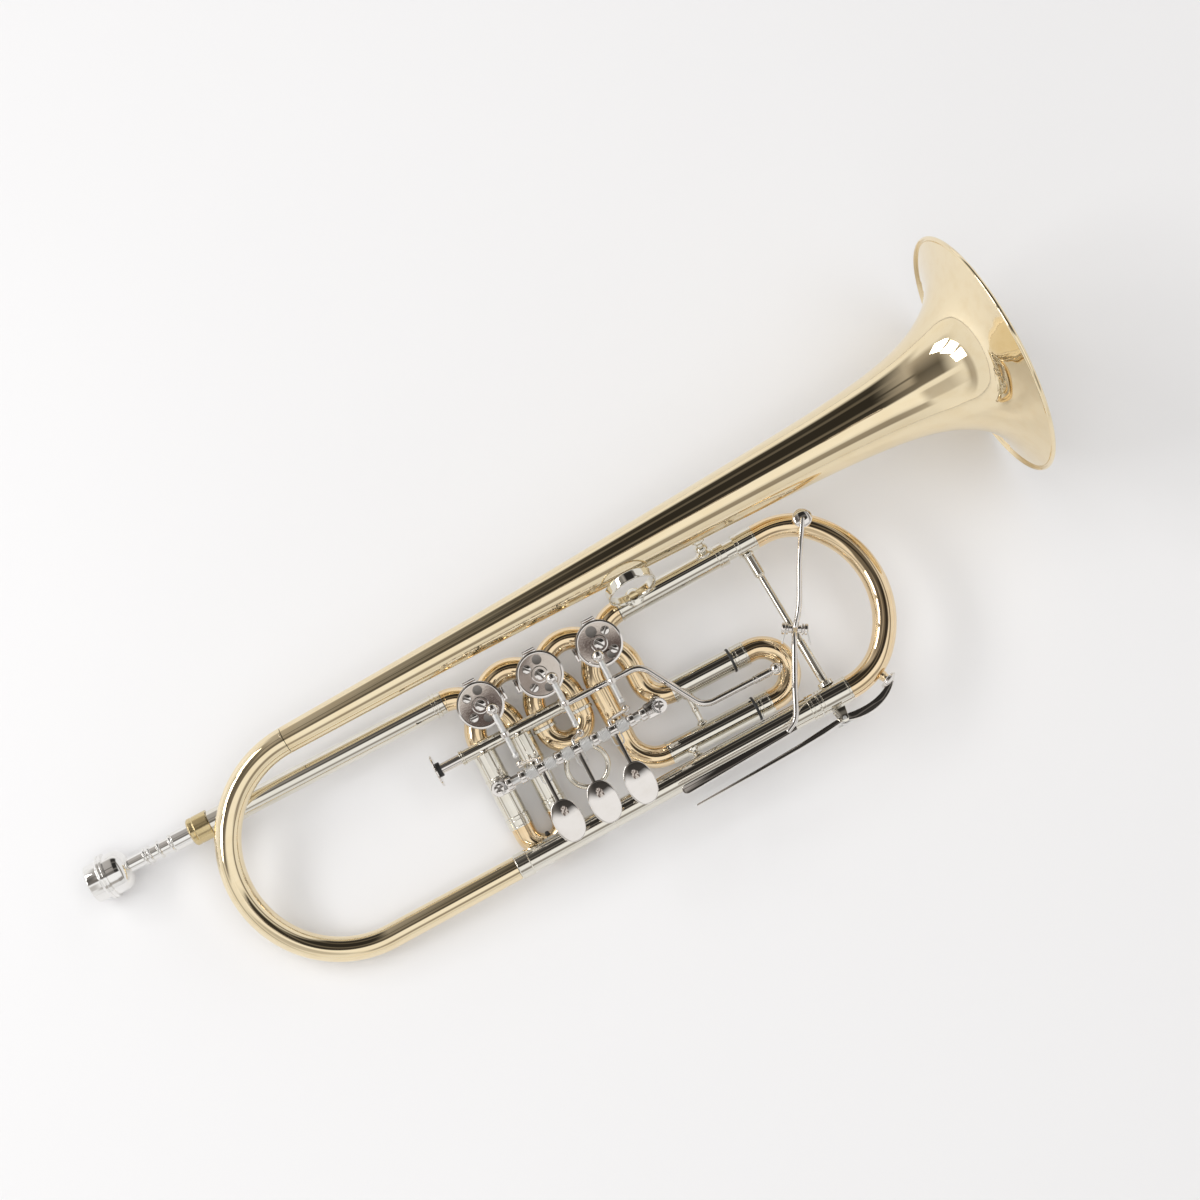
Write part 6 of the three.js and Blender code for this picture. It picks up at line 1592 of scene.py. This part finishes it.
@dataclass
class TuningSlide(Assembly):
    """The tuning slide with its brace, vent key and water key.

    Args:
        bend: the radius of the bow's solid, which sets where its water key's seat is.
        start: where the legs start.
        place: where the bow starts.
    """

    bend: float = 38.0
    start: float = 14.0
    place: float = 83.4

    def build(self) -> None:
        """Builds the slide and what it carries."""
        self._slide()
        self._brace()
        self._vent_key()
        self._water_key()

    def _slide(self) -> None:
        """Builds the slide: two legs with long ferrules, and a bow of three arcs."""
        turn = math.pi / 4
        total, spare = LEG_SPAN / 2 + self.bend, (LEG_SPAN / 2 - self.bend) / (2 * math.cos(turn) - 1)
        wide, tight = (total + spare) / 2, (total - spare) / 2
        route = Route((self.start, 0), (1, 0)).straight(self.place - self.start).bend(tight, -turn)
        route.bend(wide, -2 * turn).bend(tight, -turn)
        turned = route.run
        route.straight(self.place - self.start)
        up, low = (lambda x: x - self.start), (lambda x: turned + self.place - x)
        slide = self.piece("tuning_slide", "tuning_slide", self.frames.tuning)
        bow_start, bow_end, ferrule = 78.6, 82.9, 6.4
        slide.sweep(route, [
            (0, 0), (0, 4.95), (up(67.4), 4.95), (up(67.4), ferrule), *band(up(69.0), up(69.5), ferrule, 6.2),
            *band(up(77.2), up(77.6), ferrule, 6.25), (up(bow_start), ferrule), (up(bow_start), 0),
        ], NICKEL_SILVER, 52, 0.12)
        ferrule = 6.75
        slide.sweep(route, [
            (low(bow_end), 0), (low(bow_end), ferrule), *band(low(81.8), low(81.4), ferrule, 6.55),
            *band(low(67.8), low(67.3), ferrule, 6.55), (low(65.8), ferrule), (low(65.8), SLIDE_LEG),
            (low(self.start), SLIDE_LEG), (low(self.start), 0),
        ], NICKEL_SILVER, 52, 0.12)
        slide.sweep(route, bar(up(bow_start), low(bow_end), 6.15), ROSE, 52, 0.0)
        slide.turn(self._vent_seat(), (0, 0, 1), [(4, 0), (4, 2.8), (6.3, 2.8), (6.7, 2.5), (8.2, 2.5), (8.2, 0)],
                   ROSE, 28, 0.15)
        centre, way = self._water_seat()
        foot = self.bend + 4
        slide.turn(centre, way, [
            (foot, 0), (foot, 2.6), (foot + 2.6, 2.6), (foot + 3.0, 2.3), (foot + 4.35, 2.3), (foot + 4.35, 0),
        ], ROSE, 28, 0.15)
        slide.done()

    @staticmethod
    def _vent_seat() -> Vector:
        """The place on the bow under the vent key's cup."""
        return Vector((103.6, -4.6, 0))

    def _water_seat(self) -> tuple[Vector, Vector]:
        """The centre of the bow's lower bend, and the way from it to the water key's cup."""
        angle = math.radians(-67)
        return Vector((self.place, self.bend - LEG_SPAN, 0)), Vector((math.cos(angle), math.sin(angle), 0))

    def _brace(self) -> None:
        """Builds the brace between the slide's two legs."""
        one, other = Vector((71.6, 0, 0)), Vector((73.9, -LEG_SPAN, 0))
        seat = (other - one).length - 6.75
        brace = self.piece("tuning_slide_brace", "tuning_slide", self.frames.tuning)
        brace.turn(one, other - one, [
            (6.0, 0), (6.0, 3.4), (6.9, 3.3), (7.7, 2.8), (18.6, 2.8), (19.4, 2.3), (19.8, 1.8), (57.6, 1.8),
            (58.0, 2.3), (58.6, 2.4), (seat - 2.6, 2.4), (seat - 1.8, 4.1), (seat + 0.4, 4.2), (seat + 0.4, 0),
        ], NICKEL_SILVER, 36, 0.2)
        brace.done()

    def _vent_key(self) -> None:
        """Builds the vent key and its bracket, about the key's pivot over the brace."""
        pivot = Vector((73.3, -51.8, 4.6))
        lean = math.radians(-31.2)
        axis = Vector((math.cos(lean), math.sin(lean), 0))
        place = self.frames.tuning @ shift(*pivot)
        bracket = self.piece("vent_key_bracket", "tuning_slide", place)
        for side in (1, -1):
            bracket.turn((0, 0, 0), axis * side, [
                (3.5, 0), (3.5, 3.0), *band(4.4, 4.9, 3.0, 2.2), (6.4, 3.0), (6.7, 2.7), (6.7, 1.4), (6.3, 1.0),
                (6.3, 0),
            ], NICKEL, 36, 0.15)
            bracket.turn(axis * side * 5.0, (0, 0, -1), bar(1.4, 4.4, 1.3), SATIN, 20, 0.15)
        bracket.turn((0, 0, -pivot.z), axis, bar(-6.5, 6.5, 1.3), SATIN, 20, 0.2)
        bracket.turn((0, 0, 0), axis, bar(-3.8, 3.8, 1.0), SATIN, 20, 0.1)
        for needle in (
            [(-4.0, 2.4, 1.2), (-4.8, 1.0, 2.6), (-7.2, -1.2, 2.8), (-9.6, -3.8, 2.2)],
            [(4.0, -2.4, 1.2), (4.6, -3.6, 2.6), (3.6, -7.2, 2.8), (2.6, -11.0, 2.2)],
        ):
            bracket.wire(needle, 0.4, SATIN, 6, 10)
        bracket.done()
        key = self.piece("vent_key", "vent_key", place)
        key.turn((0, 0, 0), axis, [
            (-3.2, 1.3), (-3.2, 2.1), *band(-2.5, 2.5, 2.1, 1.95), (3.2, 2.1), (3.2, 1.3), (-3.2, 1.3),
        ], NICKEL, 32, 0.1)
        cup = self._vent_seat() + Vector((0, 0, 8.5)) - pivot
        key.turn(cup, (0, 0, 1), [
            (0, 0), (0, 4.4), (0.8, 4.4), (0.8, 5.0), (1.4, 5.0), (2.0, 4.5), (2.7, 3.2), (3.0, 1.6), (3.0, 0),
        ], NICKEL, 40, 0.15)
        thick = 1.5
        key.wire([
            (0, 0, 1.4), (cup.x * 0.25, cup.y * 0.2, 2.6), (cup.x * 0.6, cup.y * 0.6, 5.2), (*cup.xy, cup.z + 2.4),
        ], thick, NICKEL, 8, 20, 1.3)
        touch = -96.4
        key.wire([
            (0, 0, 1.4), (68.8 - pivot.x, touch * 0.61 - pivot.y, 5.5), (57.6 - pivot.x, touch * 0.82 - pivot.y, 8.0),
            (50.7 - pivot.x, touch * 0.955 - pivot.y, 8.0), (44.0 - pivot.x, touch - pivot.y, 8.0),
        ], thick, NICKEL, 10, 20)
        outline = [(49, -1.4), (49, 1.4), (-13.3, 1.4), *arc(-13.3, -1.2, 2.6, 90, 270, 12)[1:]]
        tilt = Matrix.Translation((-pivot.x, touch - pivot.y, 7.2)) @ Matrix.Rotation(math.radians(-8), 4, "X")
        key.plate(outline, 1.6, tilt, NICKEL, 0.35)
        key.done()

    def _water_key(self) -> None:
        """Builds the water key, its saddle and its spring, about the key's pivot beside the lower leg."""
        pivot = Vector((73.1, -103.0, 0))
        place = self.frames.tuning @ shift(*pivot)
        key = self.piece("water_key", "water_key", place)
        key.turn((0, 0, 0), (0, 0, 1), [
            (-3.8, 1.3), (-3.8, 1.8), (4, 1.8), (4, 1.3), (-3.8, 1.3),
        ], NICKEL, 28, 0.1)
        centre, way = self._water_seat()
        seat = centre + way * (self.bend + 8.65) - pivot
        key.turn(seat, way, [
            (0, 0), (0, 4.4), (0.8, 4.4), (0.8, 5.0), (1.5, 5.0), (2.2, 4.2), (3.0, 2.4), (3.0, 0),
        ], NICKEL, 40, 0.15)
        outer = bezier((0, -1.7), (10, -6.2), (23, -4.6), (31.0, 4.6), 16)
        inner = bezier((28.8, 6.4), (22, 0.6), (12, -0.8), (0.4, 1.7), 16)
        tilt = Matrix.Translation((0, 0, 1.2)) @ Matrix.Rotation(math.radians(-8), 4, "X")
        key.plate([*outer, *inner], 1.7, tilt, NICKEL, 0.4)
        reach, drop = -12.7 - pivot.x, -3.4
        run = [(0, 0, 1.3), (0.15, 0.35, 1.45), (0.3, 0.6, 1.2), (0.6, 0.85, 0.9), (1, 1, 0.5)]
        blade = [(reach * part, drop * lower + half) for part, lower, half in run]
        blade += [(reach * part, drop * lower - half) for part, lower, half in reversed(run)]
        tilt = Matrix.Translation((0, 0, 1.6)) @ Matrix.Rotation(math.radians(-10), 4, "X")
        key.plate(blade, 1.6, tilt, NICKEL, 0.35)
        key.done()
        self._saddle(place)
        self._water_spring(place)

    def _saddle(self, place: Matrix) -> None:
        """Builds the two cheeks and the pin that hold the water key.

        Args:
            place: the frame of the key's pivot.
        """
        saddle = self.piece("water_key_saddle", "tuning_slide", place)
        for low in (-5.4, 4.3):
            outline = [(-3.0, 5.4), (-2.1, 0), *arc(0, 0, 2.1, 180, 360, 14)[1:], (3.0, 5.4)]
            saddle.plate(outline, 1.3, Matrix.Translation((0, 0, low)), NICKEL_SILVER, 0.25)
        saddle.turn((0, 0, 0), (0, 0, 1), bar(-5.6, 5.8, 1.0), SATIN, 24, 0.2)
        saddle.done()

    def _water_spring(self, place: Matrix) -> None:
        """Builds the water key's spring, a coil round the pin with a foot either way.

        Args:
            place: the frame of the key's pivot.
        """
        low, pitch, curls, radius, wire, steps = -3.4, 1.24, 3, 2.6, 0.4, 24
        points = [Vector((-4.0, -radius, low)), Vector((-1.2, -radius, low))]
        for step in range(curls * steps + 1):
            angle = -math.pi / 2 + 2 * math.pi * step / steps
            points.append(Vector((radius * math.cos(angle), radius * math.sin(angle), low + pitch * step / steps)))
        high = low + curls * pitch
        line = Strand([*points, Vector((1.2, -radius, high)), Vector((4.0, -radius, high))])
        spring = self.piece("water_key_spring", "water_key", place)
        spring.sweep(line, bar(0, line.run, wire), SATIN, 10, wire * 0.4)
        spring.done()


@dataclass
class Studio:
    """The floor, the light and the camera.

    Args:
        frames: where the instrument lies.
        eye: where the camera is, in the frame of the valves.
        target: where it looks.
        roll: how far it is turned about its own axis.
        lens: its focal length.
        offset: its shift across and up, as shares of the picture.
        left_bands: the room's greys on the mouthpiece's side, by the angle round the tubes in degrees.
        right_bands: the same on the bell's side.
        end_bands: the same beyond the mouthpiece.
        off_bands: the greys far off either end, by the angle along the tubes.
    """

    frames: Frames
    eye: Spot = (0.0, 0.0, 1015.0)
    target: Spot = (0.0, 0.0, 0.0)
    roll: float = math.radians(27.5)
    lens: float = 59.7
    offset: tuple[float, float] = (0.0502, 0.0619)
    left_bands: Bands = (
        (-95, 0.95), (-88, 0.80), (-55, 0.85), (-51, 0.45), (-40, 0.40), (-37, 0.90), (-28, 1.0), (-1, 1.0),
        (3, 0.19), (14, 0.17), (18, 0.36), (32, 0.42), (34, 0.16), (37, 0.16), (39, 0.45), (84, 0.50), (92, 0.95),
    )
    right_bands: Bands = (
        (-95, 0.95), (-88, 0.75), (-56, 0.80), (-52, 0.30), (-38, 0.34), (-34, 0.80), (-27, 1.0), (-2, 1.0),
        (1, 0.06), (14, 0.03), (17, 0.16), (22, 0.14), (25, 0.03), (52, 0.03), (55, 0.13), (61, 0.11), (64, 0.035),
        (80, 0.05), (90, 0.95),
    )
    end_bands: Bands = (
        (-95, 0.95), (-40, 0.85), (-36, 0.60), (-12, 0.55), (-9, 0.9), (0, 0.95), (4, 0.20), (30, 0.12), (52, 0.30),
        (66, 0.45), (76, 0.9), (95, 0.95),
    )
    off_bands: Bands = (
        (-95, 0.9), (-66, 0.85), (-62, 0.5), (-56, 0.45), (-50, 0.9), (0, 1.0), (40, 0.85), (44, 0.3), (52, 0.25),
        (56, 0.85), (95, 0.9),
    )

    def build(self) -> None:
        """Sets up the floor, the light and the camera."""
        self._floor()
        self._light()
        self._camera()
        bpy.context.scene.view_settings.view_transform = "Standard"

    def _floor(self) -> None:
        """Builds the pale floor and sets the stage with it and the lamps."""
        shape = bmesh.new()
        bmesh.ops.create_grid(shape, x_segments=8, y_segments=8, size=3.0)
        mesh = bpy.data.meshes.new("floor")
        shape.to_mesh(mesh)
        shape.free()
        floor = bpy.data.objects.new("floor", mesh)
        bpy.context.scene.collection.objects.link(floor)
        material = bpy.data.materials.new("pale_floor")
        material.use_nodes = True
        tree = material.node_tree
        noise = node(tree, "TexNoise", {"Vector": node(tree, "TexCoord").outputs["Object"], "Scale": 2.0})
        ramp = node(tree, "ValToRGB", {"Fac": noise.outputs["Fac"]})
        for stop, grey, blue in zip(ramp.color_ramp.elements, (0.85, 0.89), (0.86, 0.90)):
            stop.color = (grey, grey, blue, 1)
        feed(tree, tree.nodes["Principled BSDF"], {"Base Color": ramp.outputs["Color"], "Roughness": 0.6})
        mesh.materials.append(material)
        lights = self._lamps()

    @staticmethod
    def _lamps() -> list[bpy.types.Object]:
        """Three window panes that the metal mirrors, and a broad lamp overhead that it doesn't.

        Returns:
            The lamps.
        """
        found = []
        for name, place, size, power in (
            ("pane_1", (-1.55, 0.25, 1.25), 0.5, 5.0), ("pane_2", (-1.45, 0.85, 1.25), 0.5, 5.0),
            ("pane_3", (-1.2, 1.4, 1.25), 0.5, 5.0), ("overhead", (0.1, 0.0, 2.4), 2.6, 28.0),
        ):
            data = bpy.data.lights.new(name, "AREA")
            data.size = size
            data.energy = power
            lamp = bpy.data.objects.new(name, data)
            lamp.visible_glossy = name != "overhead"
            lamp.location = place
            lamp.rotation_euler = (-Vector(place)).to_track_quat("-Z", "Y").to_euler()
            bpy.context.scene.collection.objects.link(lamp)
            found.append(lamp)
        return found

    def _light(self) -> None:
        """Paints the room on the world, by how far a direction goes along, across and up from the tubes."""
        world = bpy.data.worlds.new("studio")
        world.use_nodes = True
        tree = world.node_tree
        places = node(tree, "TexCoord").outputs["Generated"]
        along, across, up = (
            node(tree, "VectorMath", {0: places, 1: axis}, operation="DOT_PRODUCT").outputs["Value"]
            for axis in self.frames.valve.to_3x3().col
        )
        turn = node(tree, "Math", {0: across, 1: up}, operation="ARCTAN2").outputs[0]
        slant = node(tree, "Math", {0: along, 1: up}, operation="ARCTAN2").outputs[0]
        room = self._bands(tree, turn, self.left_bands)
        for low, high, angle, bands in (
            (-12, -1, turn, self.right_bands), (-12, -20, turn, self.end_bands), (26, 40, slant, self.off_bands),
            (-34, -54, slant, self.off_bands),
        ):
            room = self._mix(tree, self._step(tree, along, low, high), room, self._bands(tree, angle, bands))
        patchy = self._mix(tree, self._step(tree, across, -1.6, -1.2), room, self._ceiling(tree, places))
        room = self._mix(tree, self._step(tree, up, 90 - 3.6, 90 - 3.2), room, patchy)
        feed(tree, tree.nodes["Background"], {"Color": room, "Strength": 1.0})
        bpy.context.scene.world = world

    @staticmethod
    def _bands(tree: bpy.types.NodeTree, turn: bpy.types.NodeSocket, bands: Bands) -> bpy.types.NodeSocket:
        """The room's light and dark bands, warmer where they are darker.

        Args:
            tree: the world's tree.
            turn: the angle that places them.
            bands: the angle in degrees and the grey of each stop.

        Returns:
            The bands' colour.
        """
        share = node(tree, "MapRange", {"Value": turn, "From Min": -math.pi, "From Max": math.pi})
        ramp = node(tree, "ValToRGB", {"Fac": share.outputs["Result"]})
        stops = ramp.color_ramp.elements
        for index, (angle, grey) in enumerate(bands):
            place = 0.5 + angle / 360
            stop = stops[index] if index < 2 else stops.new(place)
            stop.position = place
            cool = 1 - min(max((0.8 - grey) / 0.5, 0), 1)
            stop.color = (grey, grey * (0.92 + 0.07 * cool), grey * (0.84 + 0.14 * cool), 1)
        return ramp.outputs["Color"]

    @staticmethod
    def _step(tree: bpy.types.NodeTree, share: bpy.types.NodeSocket, low: float, high: float) -> bpy.types.NodeSocket:
        """A mask that grows from 0 to 1 between two angles.

        Args:
            tree: the world's tree.
            share: how far a direction goes along an axis, which is the sine of its angle to the plane across it.
            low: the angle in degrees where the mask is 0.
            high: the angle in degrees where the mask is 1.

        Returns:
            The mask.
        """
        return node(tree, "MapRange", {
            "Value": share, "From Min": math.sin(math.radians(low)), "From Max": math.sin(math.radians(high)),
        }, interpolation_type="SMOOTHSTEP").outputs["Result"]

    @staticmethod
    def _mix(
        tree: bpy.types.NodeTree, mask: bpy.types.NodeSocket, one: bpy.types.NodeSocket, other: bpy.types.NodeSocket,
    ) -> bpy.types.NodeSocket:
        """Goes from one colour to the other with a mask."""
        return node(tree, "Mix", {"Factor": mask, "A": one, "B": other}, data_type="RGBA").outputs["Result"]

    @staticmethod
    def _ceiling(tree: bpy.types.NodeTree, places: bpy.types.NodeSocket) -> bpy.types.NodeSocket:
        """The patchy brown ceiling straight over the camera.

        Args:
            tree: the world's tree.
            places: the direction that is looked in.

        Returns:
            Its colour.
        """
        noise = node(tree, "TexNoise", {"Vector": places, "Scale": 48.0, "Detail": 0.0})
        ramp = node(tree, "ValToRGB", {"Fac": noise.outputs["Fac"]})
        stops = ramp.color_ramp.elements
        stops[0].position, stops[0].color = 0.42, (0.13, 0.10, 0.09, 1)
        stops[1].position, stops[1].color = 0.60, (0.74, 0.69, 0.64, 1)
        for place, tint in ((0.45, (0.26, 0.22, 0.20)), (0.54, (0.40, 0.35, 0.32))):
            stops.new(place).color = (*tint, 1)
        return ramp.outputs["Color"]

    def _camera(self) -> None:
        """Sets the camera over the instrument, rolled as the photograph was taken."""
        place = self.frames.valve
        eye, target = (place @ (Vector(at) * MM) for at in (self.eye, self.target))
        back = (eye - target).normalized()
        along = place.to_3x3() @ Vector((1, 0, 0))
        along = (along - back * along.dot(back)).normalized()
        across = back.cross(along)
        right = along * math.cos(self.roll) - across * math.sin(self.roll)
        up = along * math.sin(self.roll) + across * math.cos(self.roll)
        data = bpy.data.cameras.new("camera")
        data.lens = self.lens
        data.sensor_width = 36
        data.shift_x, data.shift_y = self.offset
        data.clip_start, data.clip_end = 0.01, 20
        camera = bpy.data.objects.new("camera", data)
        turn = Matrix((right, up, back)).transposed().to_4x4()
        camera.matrix_world = Matrix.Translation(eye) @ turn
        bpy.context.scene.collection.objects.link(camera)
        bpy.context.scene.camera = camera


def main() -> None:
    """Builds the scene round the frame."""
    logging.basicConfig(level=logging.INFO)
    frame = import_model()
    frames = Frames.of(frame["joints"])
    groups: list[Callable[[Frames, Solids], Assembly]] = [
        BellSection, LeadSection, ValveBank, LeverWork, ValveSlides, Trigger, TuningSlide,
    ]
    for group in groups:
        LOG.info("building %s", group.__name__)
        group(frames, frame["nodes"]).build()
    Studio(frames).build()


if __name__ == "__main__":
    main()
